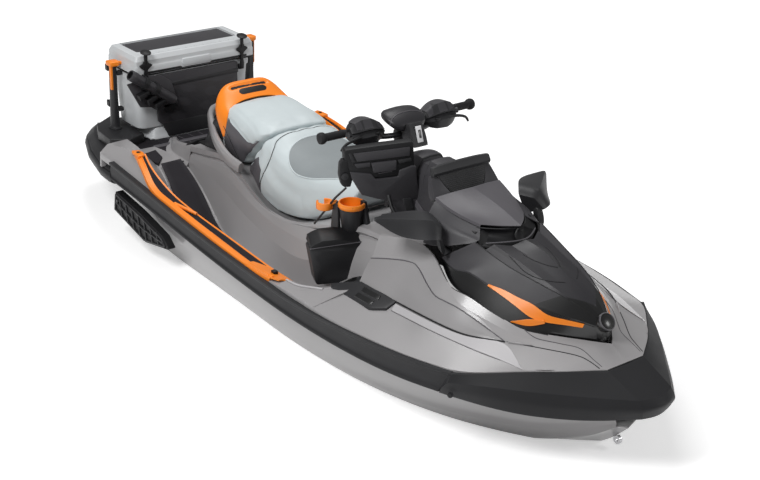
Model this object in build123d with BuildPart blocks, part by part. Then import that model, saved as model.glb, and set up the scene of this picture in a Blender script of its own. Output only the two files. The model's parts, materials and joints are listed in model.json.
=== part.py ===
from build123d import *
import math
import os

# Personal watercraft: runabout hull with a fishing rack and cooler on the stern platform.
# Millimetres. +X forward, +Y to port, +Z up; the origin is amidships on the centreline,
# at the waterline, so Z is the height above the water.

# ---------------------------------------------------------------- driving dimensions
length = 3700.0             # stern platform to bow bumper
beam = 1255.0               # over the rub rails
draft = 250.0               # keel below the waterline
cockpit_length = 2250.0     # stern platform to the foot of the console
transom = 350.0             # stern platform's own length, aft of the hull

rail_thickness = 25.0
bumper_thickness = 30.0
platform_thickness = 100.0
platform_height = 590.0     # top of the platform above the keel
mat_thickness = 10.0
thin_mat = 6.0
seat_gap = 5.0              # between the two seats
lid_gap = 0.5               # under the hood, the cooler's lid and the lift-off seat
seat_clearance = 0.3        # round pieces held against a flat one

jet_height = 180.0          # pump axis above the keel
pump_inner = 80.0
pump_wall = 15.0
blade_clearance = 5.0       # impeller blades inside the pump
shaft_radius = 12.0
shaft_clearance = 1.0
nozzle_pivot = 730.0        # from the stern
bucket_pivot = 785.0
bucket_radius = 222.0
bucket_wall = 10.0

steer_rake = 38.0           # steering axis, degrees back from upright
steer_setback = 105.0       # steering axis aft of the console's foot, at the bar's height
steer_height = 1150.0
bar_radius = 11.0
bar_span = 820.0
bar_setback = 23.0          # bar aft of the steering axis
grip_radius = 17.0

cooler_width = 670.0
cooler_depth = 270.0
cooler_height = 295.0
cooler_wall = 30.0
lid_overhang = 10.0
lid_height = 100.0
cooler_station = 335.0      # middle of the cooler
rack_height = 60.0

half_beam = beam / 2
pump_outer = pump_inner + pump_wall
impeller_radius = pump_inner - blade_clearance
steer_station = cockpit_length - steer_setback
bar_station = steer_station - bar_setback
knee_station = cockpit_length - 250.0
lap_station = cockpit_length - 300.0


def fore(station):
    """X of a distance measured forward from the stern."""
    return station - length / 2


def up(height):
    """Z of a height above the keel."""
    return height - draft


def foredeck(share):
    """Distance from the stern of a share of the foredeck."""
    return cockpit_length + share * (length - cockpit_length)


# ---------------------------------------------------------------- shell stations
# Each section of the shell names its corners as (share of the half beam, height above keel).
CORNERS = ("keel", "strake", "chine", "bond", "well", "rail", "cap", "coaming", "floor")
SHELL = [
    (transom, (0, 0), (.68, 165), (.80, 330), (.85, 505), (.76, 450),
     (.86, 620), (.84, 700), (.74, 700), (.72, 600)),
    (700, (0, 0), (.68, 165), (.83, 335), (.92, 515), (.80, 450),
     (.935, 640), (.905, 715), (.80, 715), (.76, 600)),
    (900, (0, 0), (.68, 165), (.835, 335), (.94, 515), (.80, 360),
     (.95, 622), (.90, 690), (.81, 665), (.77, 430)),
    (1200, (0, 0), (.68, 165), (.835, 325), (.955, 495), (.80, 360),
     (.96, 592), (.945, 592), (.80, 530), (.78, 400)),
    (1600, (0, 0), (.68, 165), (.835, 295), (.96, 475), (.80, 360),
     (.96, 553), (.945, 548), (.805, 490), (.79, 395)),
    (knee_station, (0, 0), (.68, 165), (.83, 255), (.96, 455), (.80, 360),
     (.96, 538), (.925, 530), (.80, 500), (.75, 400)),
    (cockpit_length, (0, 0), (.68, 165), (.82, 258), (.95, 450), (.80, 360),
     (.955, 543), (.82, 565), (.64, 660), (.48, 760)),
    (foredeck(.241), (0, 0), (.63, 170), (.77, 270), (.935, 455), (.82, 400),
     (.94, 552), (.765, 590), (.575, 720), (.415, 840)),
    (foredeck(.448), (0, 30), (.50, 180), (.65, 285), (.85, 460), (.74, 440),
     (.86, 560), (.67, 615), (.525, 700), (.375, 800)),
    (foredeck(.586), (0, 90), (.38, 210), (.51, 300), (.745, 470), (.64, 450),
     (.755, 575), (.575, 625), (.43, 670), (.30, 730)),
    (foredeck(.724), (0, 180), (.22, 255), (.33, 320), (.56, 475), (.45, 455),
     (.57, 590), (.415, 625), (.27, 645), (.16, 675)),
    (foredeck(.841), (0, 305), (.10, 340), (.16, 380), (.33, 480), (.24, 465),
     (.34, 603), (.24, 615), (.16, 618), (.08, 625)),
    (foredeck(.966), (0, 445), (.03, 450), (.05, 460), (.075, 485), (.05, 480),
     (.08, 560), (.065, 565), (.05, 568), (.025, 570)),
]
STERN, QUARTER, STEP, MID, WAIST, KNEE, DASH, HOOD_AFT = range(8)
BROW, BUMPER_AFT, NOSE, SNOUT, STEM = range(8, 13)


def corner(index, name):
    """(y, height) of one named corner of one shell section."""
    share, height = SHELL[index][1 + CORNERS.index(name)]
    return share * half_beam, height


def between(index, low, high, share):
    """(y, height) of a point on the straight line between two corners."""
    (y0, h0), (y1, h1) = corner(index, low), corner(index, high)
    return y0 + (y1 - y0) * share, h0 + (h1 - h0) * share


def shell_at(station, name):
    """(y, height) of a named corner at any distance from the stern."""
    for index in range(len(SHELL) - 1):
        start, end = SHELL[index][0], SHELL[index + 1][0]
        if start <= station <= end:
            share = (station - start) / (end - start)
            (y0, h0), (y1, h1) = corner(index, name), corner(index + 1, name)
            return y0 + (y1 - y0) * share, h0 + (h1 - h0) * share
    return corner(STEM, name)


def section(station, points):
    """A closed section across the boat; points are (y, height above keel)."""
    with BuildSketch(Plane.YZ.offset(fore(station))) as profile:
        with BuildLine():
            Polyline([(y, up(height)) for y, height in points], close=True)
        make_face()
    return profile.sketch


def mirrored(points):
    """Both halves of a section given from the centreline out and back."""
    return points + [(-y, height) for y, height in reversed(points) if y > 0.001]


def side_profile(points, half_width, offset=0.0):
    """A profile of (station, height) points made solid across the boat."""
    with BuildSketch(Plane.XZ.offset(-offset)) as profile:
        with BuildLine():
            Polyline([(fore(s), up(height)) for s, height in points], close=True)
        make_face()
    extrude(profile.sketch, amount=half_width, both=True)


def block(stations, sides, heights, mode=Mode.ADD):
    """A box between two stations, two y values and two heights above the keel."""
    centre = (fore(sum(stations) / 2), sum(sides) / 2, up(sum(heights) / 2))
    with Locations(centre):
        Box(stations[1] - stations[0], sides[1] - sides[0], heights[1] - heights[0], mode=mode)


def skin(indices, low, high, shares, offset):
    """A strip on the port side of the shell between two of its corner lines."""
    sections = []
    for index in indices:
        a = between(index, low, high, shares[0])
        b = between(index, low, high, shares[1])
        sections.append(section(SHELL[index][0], [a, (a[0] + offset[0], a[1] + offset[1]),
                                                  (b[0] + offset[0], b[1] + offset[1]), b]))
    loft(sections, ruled=True)


def save(piece, name):
    """Label a finished piece and write its STEP file."""
    piece.part.label = name
    export_step(piece.part, f"parts/{name}.step")


os.makedirs("parts", exist_ok=True)

# ---------------------------------------------------------------- engine bay and bin
engine_length, engine_width, engine_height = 600.0, 360.0, 430.0
engine_station = cockpit_length - 460
engine_floor = 120.0
engine_room = 10.0
bay_stations = (engine_station - engine_length / 2 - engine_room,
                engine_station + engine_length / 2 + engine_room)
bay_half = engine_width / 2 + engine_room
bay_heights = (engine_floor, engine_floor + engine_height + engine_room)

bin_stations = (foredeck(.26), foredeck(.58))
bin_half = 0.28 * half_beam
bin_floor = 500.0
bin_top = 900.0

# ---------------------------------------------------------------- hull
tunnel_half, tunnel_top, tunnel_end = pump_outer + 45, jet_height + pump_outer + 15, 1100.0
chamber_half, chamber_top, chamber_end = 200.0, 420.0, 830.0
below_keel = -20.0
intake_length, intake_half, intake_depth = 350.0, 90.0, 60.0
stern_bearing = 40.0

with BuildPart() as hull:
    loft([section(row[0], mirrored([corner(index, name) for name in CORNERS[:5]]))
          for index, row in enumerate(SHELL)], ruled=True)
    block(bay_stations, (-bay_half, bay_half), bay_heights, Mode.SUBTRACT)
    block((transom - 10, chamber_end), (-chamber_half, chamber_half),
          (below_keel, chamber_top), Mode.SUBTRACT)
    block((chamber_end - 10, tunnel_end), (-tunnel_half, tunnel_half),
          (below_keel, tunnel_top), Mode.SUBTRACT)
    block((tunnel_end - 10, tunnel_end + intake_length), (-intake_half, intake_half),
          (below_keel, intake_depth), Mode.SUBTRACT)
    with Locations(Plane(origin=(fore(tunnel_end), 0, up(jet_height)), z_dir=(1, 0, 0))):
        Cylinder(shaft_radius + shaft_clearance, 2 * stern_bearing, mode=Mode.SUBTRACT)
save(hull, "hull")

# ---------------------------------------------------------------- deck
seat_split = 1450.0
PEDESTAL = [  # station, share of half beam and height at the foot, the same at the top
    (800, .494, 420, .398, 690),
    (1200, .526, 375, .375, 700),
    (seat_split, .574, 375, .367, 620),
    (lap_station, .653, 375, .367, 620),
    (cockpit_length + 50, .765, 375, .430, 740),
]


def pedestal_at(station):
    """(foot half width, top half width, top height) of the pedestal at a station."""
    for a, b in zip(PEDESTAL, PEDESTAL[1:]):
        if a[0] <= station <= b[0]:
            share = (station - a[0]) / (b[0] - a[0])
            foot, top, height = [a[i] + (b[i] - a[i]) * share for i in (1, 3, 4)]
            return foot * half_beam, top * half_beam, height
    raise ValueError(station)


def deck_section(index):
    """Half of the deck's outline at one shell station, and its mirror image."""
    names = ("well", "bond", "rail", "cap", "coaming", "floor")
    return section(SHELL[index][0], mirrored([corner(index, name) for name in names]))


with BuildPart() as deck:
    loft([deck_section(index) for index in range(STERN, DASH + 1)], ruled=True)
    block(bay_stations, (-bay_half, bay_half), bay_heights, Mode.SUBTRACT)
save(deck, "deck")

with BuildPart() as foredeck_shell:
    loft([deck_section(index) for index in range(DASH, STEM + 1)], ruled=True)
    block(bin_stations, (-bin_half, bin_half), (bin_floor, bin_top), Mode.SUBTRACT)
save(foredeck_shell, "foredeck")

with BuildPart() as seat_pedestal:
    loft([section(station, mirrored([(foot * half_beam, low), (top * half_beam, high)]))
          for station, foot, low, top, high in PEDESTAL], ruled=True)
    block(bay_stations, (-bay_half, bay_half), bay_heights, Mode.SUBTRACT)
    add(deck.part, mode=Mode.SUBTRACT)
    add(foredeck_shell.part, mode=Mode.SUBTRACT)
save(seat_pedestal, "seat_pedestal")

# ---------------------------------------------------------------- engine
with BuildPart() as engine_block:
    block((engine_station - engine_length / 2, engine_station + engine_length / 2),
          (-engine_width / 2, engine_width / 2), (engine_floor, engine_floor + engine_height))
save(engine_block, "engine_block")

# ---------------------------------------------------------------- ride plate and intake grate
plate_top = jet_height - pump_outer - 11
plate_heights = (plate_top - 12, plate_top)
with BuildPart() as ride_plate:
    block((chamber_end, tunnel_end), (-tunnel_half, tunnel_half), plate_heights)
save(ride_plate, "ride_plate")

grate_heights = (30.0, 48.0)
grate_bar = 12.0
grate_pitch = 36.0
grate_rim = 20.0
with BuildPart() as intake_grate:
    block((tunnel_end, tunnel_end + intake_length), (-intake_half, intake_half), grate_heights)
    block((tunnel_end + grate_rim, tunnel_end + intake_length - grate_rim),
          (-intake_half + grate_rim, intake_half - grate_rim), grate_heights, Mode.SUBTRACT)
    for step in (-1, 0, 1):
        middle = step * grate_pitch
        block((tunnel_end + grate_rim - 1, tunnel_end + intake_length - grate_rim + 1),
              (middle - grate_bar / 2, middle + grate_bar / 2), grate_heights)
save(intake_grate, "intake_grate")

# ---------------------------------------------------------------- jet pump
jet_axis = Axis((0, 0, up(jet_height)), (1, 0, 0))
flange_radius, flange_thickness = pump_outer + 9, 15.0
venturi_outer, venturi_inner = 58.0, 50.0
venturi_mouth, venturi_throat, venturi_root = 700.0, 790.0, 830.0
stator_hub = 32.0
stator_stations = (835.0, 885.0)
vane_thickness = 5.0
vane_count = 5
pin_radius, pin_clearance = 7.0, 0.4
ear_gap, ear_thickness, ear_half = 84.0, 10.0, 14.0
plate_inner, plate_outer = 118.0, 126.0
trunnion_radius, trunnion_reach = 12.0, plate_outer + 6


def on_jet(station):
    """A plane across the jet axis at a station, facing forward."""
    return Plane(origin=(fore(station), 0, up(jet_height)), x_dir=(0, 1, 0), z_dir=(1, 0, 0))


def turned(profile, mode=Mode.ADD):
    """A closed profile of (station, radius) points turned about the jet's axis."""
    with BuildSketch(Plane.XZ) as outline:
        with BuildLine():
            Polyline([(fore(station), up(jet_height) + radius) for station, radius in profile], close=True)
        make_face()
    revolve(outline.sketch, axis=jet_axis, mode=mode)


with BuildPart() as pump_housing:
    turned([(venturi_root, pump_inner), (tunnel_end, pump_inner), (tunnel_end, flange_radius),
            (tunnel_end - flange_thickness, flange_radius),
            (tunnel_end - flange_thickness, pump_outer), (venturi_root, pump_outer)])
    with BuildSketch(on_jet(stator_stations[0])):
        Circle(stator_hub)
        with PolarLocations(0, vane_count):
            with Locations((pump_inner / 2, 0)):
                Rectangle(pump_inner + 4, vane_thickness)
        Circle(shaft_radius + shaft_clearance, mode=Mode.SUBTRACT)
    extrude(amount=stator_stations[1] - stator_stations[0])
save(pump_housing, "pump_housing")

# ---------------------------------------------------------------- venturi, which carries both pivots
with BuildPart() as venturi:
    turned([(venturi_mouth, venturi_inner), (venturi_throat, venturi_inner), (venturi_root, pump_inner),
            (venturi_root, pump_outer), (venturi_root - 10, pump_outer),
            (venturi_throat, venturi_outer), (venturi_mouth, venturi_outer)])
    for side in (-1, 1):
        edges = sorted((jet_height + side * ear_gap, jet_height + side * (ear_gap + ear_thickness)))
        block((nozzle_pivot - ear_half, venturi_root), (-ear_half, ear_half), edges)
    with Locations((fore(nozzle_pivot), 0, up(jet_height))):
        Cylinder(pin_radius + pin_clearance, 400, mode=Mode.SUBTRACT)
    with BuildSketch(Plane.XZ.offset(-trunnion_reach)):
        with Locations((fore(bucket_pivot), up(jet_height))):
            Circle(trunnion_radius)
    extrude(amount=2 * trunnion_reach)
    for side in (-1, 1):
        inner, outer = sorted((side * (pump_outer - 20), side * (plate_inner - 6)))
        block((bucket_pivot - trunnion_radius, venturi_root), (inner, outer),
              (jet_height - trunnion_radius, jet_height + trunnion_radius))
    turned([(venturi_mouth - 60, 0), (venturi_mouth - 60, venturi_inner), (venturi_throat, venturi_inner),
            (venturi_root, pump_inner), (venturi_root, 0)], mode=Mode.SUBTRACT)
save(venturi, "venturi")

# ---------------------------------------------------------------- impeller on its shaft
impeller_stations = (905.0, 1005.0)
impeller_hub = 30.0
blade_count = 4
blade_thickness = 6.0
blade_twist = math.radians(35)
blade_chord = 84.0
shaft_end = tunnel_end + stern_bearing - 10
with BuildPart() as impeller:
    with BuildSketch(on_jet(stator_stations[0])):
        Circle(shaft_radius)
    extrude(amount=shaft_end - stator_stations[0])
    with BuildSketch(on_jet(impeller_stations[0])):
        Circle(impeller_hub)
    extrude(amount=impeller_stations[1] - impeller_stations[0])
    for blade in range(blade_count):
        turn = math.radians(360 / blade_count * blade)
        chord = Vector(math.cos(blade_twist), -math.sin(blade_twist) * math.sin(turn),
                       math.sin(blade_twist) * math.cos(turn))
        with BuildSketch(Plane(origin=(fore(sum(impeller_stations) / 2), 0, up(jet_height)),
                               x_dir=chord, z_dir=(0, math.cos(turn), math.sin(turn)))):
            Rectangle(blade_chord, blade_thickness)
        extrude(amount=impeller_radius - 4)
save(impeller, "impeller")

# ---------------------------------------------------------------- steering nozzle
nozzle_front, nozzle_aft = 738.0, 590.0
nozzle_front_inner, nozzle_aft_inner, nozzle_wall = 69.0, 50.0, 7.0
pin_reach = ear_gap + ear_thickness - 1
with BuildPart() as steering_nozzle:
    with BuildSketch(Plane.XZ):
        with BuildLine():
            Polyline([(fore(s), up(jet_height) + r) for s, r in [
                (nozzle_aft, nozzle_aft_inner), (nozzle_front, nozzle_front_inner),
                (nozzle_front, nozzle_front_inner + nozzle_wall),
                (nozzle_pivot, nozzle_front_inner + nozzle_wall),
                (nozzle_aft, nozzle_aft_inner + nozzle_wall)]], close=True)
        make_face()
    revolve(axis=jet_axis)
    for side in (-1, 1):
        with Locations((fore(nozzle_pivot), 0, up(jet_height) + side * (nozzle_front_inner + pin_reach) / 2)):
            Cylinder(pin_radius, pin_reach - nozzle_front_inner - 1)
save(steering_nozzle, "steering_nozzle")

# ---------------------------------------------------------------- reverse bucket
bucket_start, bucket_sweep = 35.0, 50.0
arm_radius = 26.0
bucket_inner = bucket_radius - bucket_wall


def around_bucket(radius, angle):
    """(x, z) at a radius and angle up from straight aft about the bucket's pivot."""
    turn = math.radians(angle)
    return (fore(bucket_pivot) - radius * math.cos(turn), up(jet_height) + radius * math.sin(turn))


with BuildPart() as reverse_bucket:
    ends = (bucket_start, bucket_start + bucket_sweep)
    middle = sum(ends) / 2
    with BuildSketch(Plane.XZ.offset(-plate_outer)):
        with BuildLine():
            ThreePointArc(around_bucket(bucket_radius, ends[0]),
                          around_bucket(bucket_radius, middle),
                          around_bucket(bucket_radius, ends[1]))
            Line(around_bucket(bucket_radius, ends[1]), around_bucket(bucket_inner, ends[1]))
            ThreePointArc(around_bucket(bucket_inner, ends[1]),
                          around_bucket(bucket_inner, middle),
                          around_bucket(bucket_inner, ends[0]))
            Line(around_bucket(bucket_inner, ends[0]), around_bucket(bucket_radius, ends[0]))
        make_face()
    extrude(amount=2 * plate_outer)
    for offset in (-plate_outer, plate_inner):
        with BuildSketch(Plane.XZ.offset(offset)):
            with BuildLine():
                Polyline([around_bucket(arm_radius, 0), around_bucket(bucket_inner + 2, ends[0]),
                          around_bucket(bucket_inner + 2, ends[1]), around_bucket(arm_radius, 120)],
                         close=True)
            make_face()
            with Locations((fore(bucket_pivot), up(jet_height))):
                Circle(arm_radius)
                Circle(trunnion_radius + pin_clearance, mode=Mode.SUBTRACT)
        extrude(amount=plate_outer - plate_inner)
save(reverse_bucket, "reverse_bucket")

# ---------------------------------------------------------------- sponsons and rub rails
sponson_thickness = 40.0
with BuildPart() as sponsons:
    skin((QUARTER, STEP, MID), "chine", "bond", (.10, .80), (sponson_thickness, 0))
    mirror(about=Plane.XZ)
save(sponsons, "sponsons")

with BuildPart() as side_rails:
    skin(range(QUARTER, BUMPER_AFT + 1), "bond", "rail", (0, 1), (rail_thickness, 0))
    mirror(about=Plane.XZ)
save(side_rails, "side_rails")

# ---------------------------------------------------------------- bow bumper
nose_half = 60.0
with BuildPart() as bow_bumper:
    skin(range(BUMPER_AFT, STEM + 1), "bond", "rail", (0, 1), (bumper_thickness, 0))
    mirror(about=Plane.XZ)
    stem_y, stem_low = corner(STEM, "bond")
    stem_rail = corner(STEM, "rail")
    with BuildSketch(Plane.XY.offset(up(stem_low))):
        with BuildLine():
            Polyline([(fore(foredeck(.966)), -stem_y - bumper_thickness),
                      (fore(length), -nose_half), (fore(length), nose_half),
                      (fore(foredeck(.966)), stem_y + bumper_thickness)], close=True)
        make_face()
    extrude(amount=stem_rail[1] - stem_low)
save(bow_bumper, "bow_bumper")

# ---------------------------------------------------------------- swim platform
aft_half, shoulder_half, shoulder_station = 0.62 * half_beam, 0.77 * half_beam, 80.0
with BuildPart() as swim_platform:
    skin((STERN, QUARTER), "bond", "rail", (0, 1), (bumper_thickness, 0))
    mirror(about=Plane.XZ)
    root_half = corner(STERN, "bond")[0] + bumper_thickness
    with BuildSketch(Plane.XY.offset(up(platform_height - platform_thickness))):
        with BuildLine():
            Polyline([(fore(0), -aft_half), (fore(shoulder_station), -shoulder_half),
                      (fore(transom), -root_half), (fore(transom), root_half),
                      (fore(shoulder_station), shoulder_half), (fore(0), aft_half)], close=True)
        make_face()
    extrude(amount=platform_thickness)
save(swim_platform, "swim_platform")

# ---------------------------------------------------------------- traction mats
mat_margin = 25.0
rear_mat_stations = (500.0, 690.0)
foot_mat_margin = 12.0
with BuildPart() as traction_mats:
    with BuildSketch(Plane.XY.offset(up(platform_height))):
        with BuildLine():
            Polyline([(fore(mat_margin), -aft_half + mat_margin),
                      (fore(shoulder_station + mat_margin), -shoulder_half + mat_margin),
                      (fore(transom - 2), -root_half + 2 * mat_margin),
                      (fore(transom - 2), root_half - 2 * mat_margin),
                      (fore(shoulder_station + mat_margin), shoulder_half - mat_margin),
                      (fore(mat_margin), aft_half - mat_margin)], close=True)
        make_face()
    extrude(amount=mat_thickness)
    rear_half = 0.70 * half_beam
    floor_height = corner(STERN, "floor")[1]
    block(rear_mat_stations, (-rear_half, rear_half), (floor_height, floor_height + thin_mat))
    for side in (-1, 1):
        sections = []
        for station in (900.0, 1200.0, 1600.0, knee_station - 20):
            edge, height = shell_at(station, "floor")
            foot = pedestal_at(station)[0] + foot_mat_margin
            outer = edge - foot_mat_margin
            points = [(foot, height), (outer, height), (outer, height + thin_mat), (foot, height + thin_mat)]
            sections.append(section(station, [(side * y, h) for y, h in points]))
        loft(sections, ruled=True)
save(traction_mats, "traction_mats")

# ---------------------------------------------------------------- footrests and cleats
footrest_thickness = 12.0
with BuildPart() as footrests:
    skin((STEP, MID, WAIST, KNEE), "coaming", "cap", (.05, .95), (0, footrest_thickness))
    mirror(about=Plane.XZ)
save(footrests, "footrests")

cleat_thickness = 10.0
with BuildPart() as cleats:
    skin((DASH, HOOD_AFT), "cap", "coaming", (.08, .55), (6, cleat_thickness))
    mirror(about=Plane.XZ)
save(cleats, "cleats")

# ---------------------------------------------------------------- seats
REAR_SEAT = [(1040, 10, 165, 945), (1200, 10, 165, 955), (seat_split - seat_gap, 5, 165, 900)]
FRONT_SEAT = [(seat_split, 5, 165, 900), (1600, 5, 150, 845), (lap_station, 15, 130, 850),
              (lap_station + 110, 50, 120, 830)]


def cushion(rows, gap):
    """Sections of a seat on the pedestal, from (station, inset from its edge, half top, top)."""
    sections = []
    for station, inset, half_top, top in rows:
        _, ledge, height = pedestal_at(station)
        half_low = ledge - inset
        height += gap
        shoulder = height + 0.6 * (top - height)
        points = [(half_low, height), (half_low - 5, shoulder), (half_top, top)]
        sections.append(section(station, mirrored(points)))
    return sections


with BuildPart() as seat_rear:
    loft(cushion(REAR_SEAT, lid_gap), ruled=True)
save(seat_rear, "seat_rear")

with BuildPart() as seat_front:
    loft(cushion(FRONT_SEAT, 0), ruled=True)
save(seat_front, "seat_front")

# ---------------------------------------------------------------- grab handle and rear rail
handle_tube = 16.0
handle_station = 985.0
handle_half = pedestal_at(handle_station)[1] - 25
handle_foot = pedestal_at(handle_station)[2] - 5
with BuildPart() as grab_handle:
    with BuildLine() as handle_line:
        FilletPolyline([(fore(handle_station), -handle_half, up(handle_foot)),
                        (fore(handle_station), -handle_half, up(840)),
                        (fore(handle_station - 16), -120, up(988)), (fore(handle_station - 16), 120, up(988)),
                        (fore(handle_station), handle_half, up(840)),
                        (fore(handle_station), handle_half, up(handle_foot))], radius=60)
    with BuildSketch(Plane(origin=handle_line.line @ 0, z_dir=handle_line.line % 0)):
        Circle(handle_tube)
    sweep()
    add(seat_pedestal.part, mode=Mode.SUBTRACT)
save(grab_handle, "grab_handle")

rail_tube = 13.0
rail_station = 745.0
with BuildPart() as seat_rail:
    with BuildLine() as rail_line:
        FilletPolyline([(fore(rail_station), -285, up(shell_at(rail_station, "floor")[1] - 30)),
                        (fore(rail_station), -285, up(680)), (fore(rail_station), -170, up(765)),
                        (fore(rail_station), 170, up(765)), (fore(rail_station), 285, up(680)),
                        (fore(rail_station), 285, up(shell_at(rail_station, "floor")[1] - 30))],
                       radius=50)
    with BuildSketch(Plane(origin=rail_line.line @ 0, z_dir=rail_line.line % 0)):
        Circle(rail_tube)
    sweep()
    add(deck.part, mode=Mode.SUBTRACT)
save(seat_rail, "seat_rail")

# ---------------------------------------------------------------- console
rake = math.radians(steer_rake)
steer_point = Vector(fore(steer_station), 0, up(steer_height))
steer_up = Vector(-math.sin(rake), 0, math.cos(rake))
console_half = 85.0
stem_radius = 22.0
stem_length = 170.0
console_foot = corner(DASH, "floor")[1]
hood_start = foredeck(.241)
console_stations = (cockpit_length, hood_start - 60)
deck_slope = ((corner(HOOD_AFT, "floor")[1] - console_foot)
              / (SHELL[HOOD_AFT][0] - cockpit_length))
console_far = console_foot + deck_slope * (console_stations[1] - cockpit_length)
with BuildPart() as console:
    side_profile([(cockpit_length, console_foot), (console_stations[1], console_far),
                  (console_stations[1], 960), (console_stations[1] - 100, 1000),
                  (cockpit_length + 80, 1050), (cockpit_length + 16, 1072),
                  (cockpit_length - 80, 998), (cockpit_length - 60, 880)], console_half)
    with Locations(Plane(origin=steer_point - steer_up * 150, x_dir=(0, 1, 0), z_dir=steer_up)):
        Cylinder(stem_radius + shaft_clearance, 220, mode=Mode.SUBTRACT)
save(console, "console")

# ---------------------------------------------------------------- handlebar
clamp_half = 45.0
with BuildPart() as handlebar:
    with BuildSketch(Plane.XZ.offset(-bar_span / 2)):
        with Locations((fore(bar_station), up(steer_height))):
            Circle(bar_radius)
    extrude(amount=bar_span)
    with Locations((fore(steer_station), 0, up(steer_height))):
        Box(80, 2 * clamp_half, 40)
    with Locations(Plane(origin=steer_point - steer_up * (stem_length / 2), x_dir=(0, 1, 0), z_dir=steer_up)):
        Cylinder(stem_radius, stem_length)
save(handlebar, "handlebar")

grip_length = 115.0
with BuildPart() as grips:
    for side in (-1, 1):
        start = side * bar_span / 2
        with BuildSketch(Plane.XZ.offset(-start)):
            with Locations((fore(bar_station), up(steer_height))):
                Circle(grip_radius)
                Circle(bar_radius, mode=Mode.SUBTRACT)
        extrude(amount=side * grip_length)
save(grips, "grips")

housing_sides = (165.0, 290.0)
with BuildPart() as switch_housings:
    for side in (-1, 1):
        sides = sorted((side * housing_sides[0], side * housing_sides[1]))
        block((bar_station - 47, bar_station + 68), sides, (steer_height - 45, steer_height + 40))
    with BuildSketch(Plane.XZ.offset(-bar_span / 2)):
        with Locations((fore(bar_station), up(steer_height))):
            Circle(bar_radius)
    extrude(amount=bar_span, mode=Mode.SUBTRACT)
save(switch_housings, "switch_housings")

with BuildPart() as levers:
    for side in (-1, 1):
        root = bar_station + 68
        with BuildSketch(Plane.XY.offset(up(steer_height - 7))):
            with BuildLine():
                Polyline([(fore(root), side * 225), (fore(root), side * 292), (fore(root - 22), side * 385),
                          (fore(root - 12), side * 388), (fore(root + 10), side * 300),
                          (fore(root + 15), side * 225)], close=True)
            make_face()
        extrude(amount=12)
save(levers, "levers")

with BuildPart() as handlebar_pad:
    block((steer_station - 60, steer_station + 70), (-80, 80), (steer_height + 20, steer_height + 55))
save(handlebar_pad, "handlebar_pad")

# ---------------------------------------------------------------- hood
HOOD = [  # foredeck share, side (half, height), top (half, height)
    (HOOD_AFT, .39, (250, 900), (150, 965)),
    (BROW, .35, (218, 862), (120, 930)),
    (BUMPER_AFT, .275, (170, 792), (90, 850)),
    (NOSE, .14, (85, 712), (50, 750)),
]
hood_front = foredeck(.79)
front_base = shell_at(hood_front, "floor")[1] + lid_gap
hood_sections = []
for index, share, side, top in HOOD:
    base = corner(index, "floor")[1] + lid_gap
    hood_sections.append(section(SHELL[index][0], mirrored([(share * half_beam, base), side, top])))
hood_sections.append(section(hood_front, mirrored([(30, front_base), (28, front_base + 15),
                                                   (20, front_base + 40)])))
with BuildPart() as hood:
    loft(hood_sections, ruled=True)
save(hood, "hood")

visor_foot = HOOD[0][3][1]
visor_depth = 110.0
visor_half = 148.0
brow_slope = (visor_foot - HOOD[1][3][1]) / (SHELL[BROW][0] - hood_start)
with BuildPart() as gauge_visor:
    side_profile([(hood_start, visor_foot), (hood_start + visor_depth, visor_foot - visor_depth * brow_slope),
                  (hood_start - 70, 1100), (hood_start - 100, 1096), (hood_start - 40, 1000)], visor_half)
save(gauge_visor, "gauge_visor")

with BuildPart() as mirrors:
    with BuildSketch(Plane.XY.offset(up(885))):
        with BuildLine():
            Polyline([(fore(hood_start + 150), 200), (fore(hood_start + 140), 290),
                      (fore(hood_start - 30), 450), (fore(hood_start - 60), 410),
                      (fore(hood_start + 20), 200)], close=True)
        make_face()
    extrude(amount=90)
    mirror(about=Plane.XZ)
    add(hood.part, mode=Mode.SUBTRACT)
save(mirrors, "mirrors")

# ---------------------------------------------------------------- fish finder
finder_yaw = 22.8
finder_station, finder_side = cockpit_length + 30, -225.0
finder_place = Location((fore(finder_station), finder_side, up(1005)), (0, 0, -finder_yaw))
with BuildPart() as fish_finder:
    with Locations(finder_place):
        Box(45, 272, 190)
save(fish_finder, "fish_finder")

finder_foot = (finder_station - 25, finder_station + 25)

# ---------------------------------------------------------------- side box, cup holder, rod ring
with BuildPart() as side_box:
    block((cockpit_length - 120, cockpit_length + 80), (-490, -330), (520, 740))
    for piece in (deck, foredeck_shell, seat_pedestal):
        add(piece.part, mode=Mode.SUBTRACT)
    add(cleats.part, mode=Mode.SUBTRACT)
save(side_box, "side_box")

cup_station, cup_side = cockpit_length - 52, -300.0
cup_radius, cup_wall, cup_heights = 46.0, 4.0, (762.0, 860.0)
with BuildPart() as cup_holder:
    with BuildSketch(Plane.XY.offset(up(cup_heights[0]))):
        with Locations((fore(cup_station), cup_side)):
            Circle(cup_radius)
    extrude(amount=cup_heights[1] - cup_heights[0])
    with BuildSketch(Plane.XY.offset(up(cup_heights[0] + cup_wall))):
        with Locations((fore(cup_station), cup_side)):
            Circle(cup_radius - cup_wall)
    extrude(amount=cup_heights[1] - cup_heights[0], mode=Mode.SUBTRACT)
save(cup_holder, "cup_holder")

rim_height, rim_outer = 10.0, 54.0
with BuildPart() as cup_rim:
    with BuildSketch(Plane.XY.offset(up(cup_heights[1]))):
        with Locations((fore(cup_station), cup_side)):
            Circle(rim_outer)
            Circle(cup_radius - cup_wall, mode=Mode.SUBTRACT)
    extrude(amount=rim_height)
save(cup_rim, "cup_rim")

ring_station, ring_side = cockpit_length - 138, -372.0
ring_outer, ring_inner = 25.0, 18.0
with BuildPart() as rod_ring:
    with BuildSketch(Plane.XY.offset(up(835))):
        with Locations((fore(ring_station), ring_side)):
            Circle(ring_outer)
            Circle(ring_inner, mode=Mode.SUBTRACT)
    extrude(amount=30)
save(rod_ring, "rod_ring")

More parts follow.
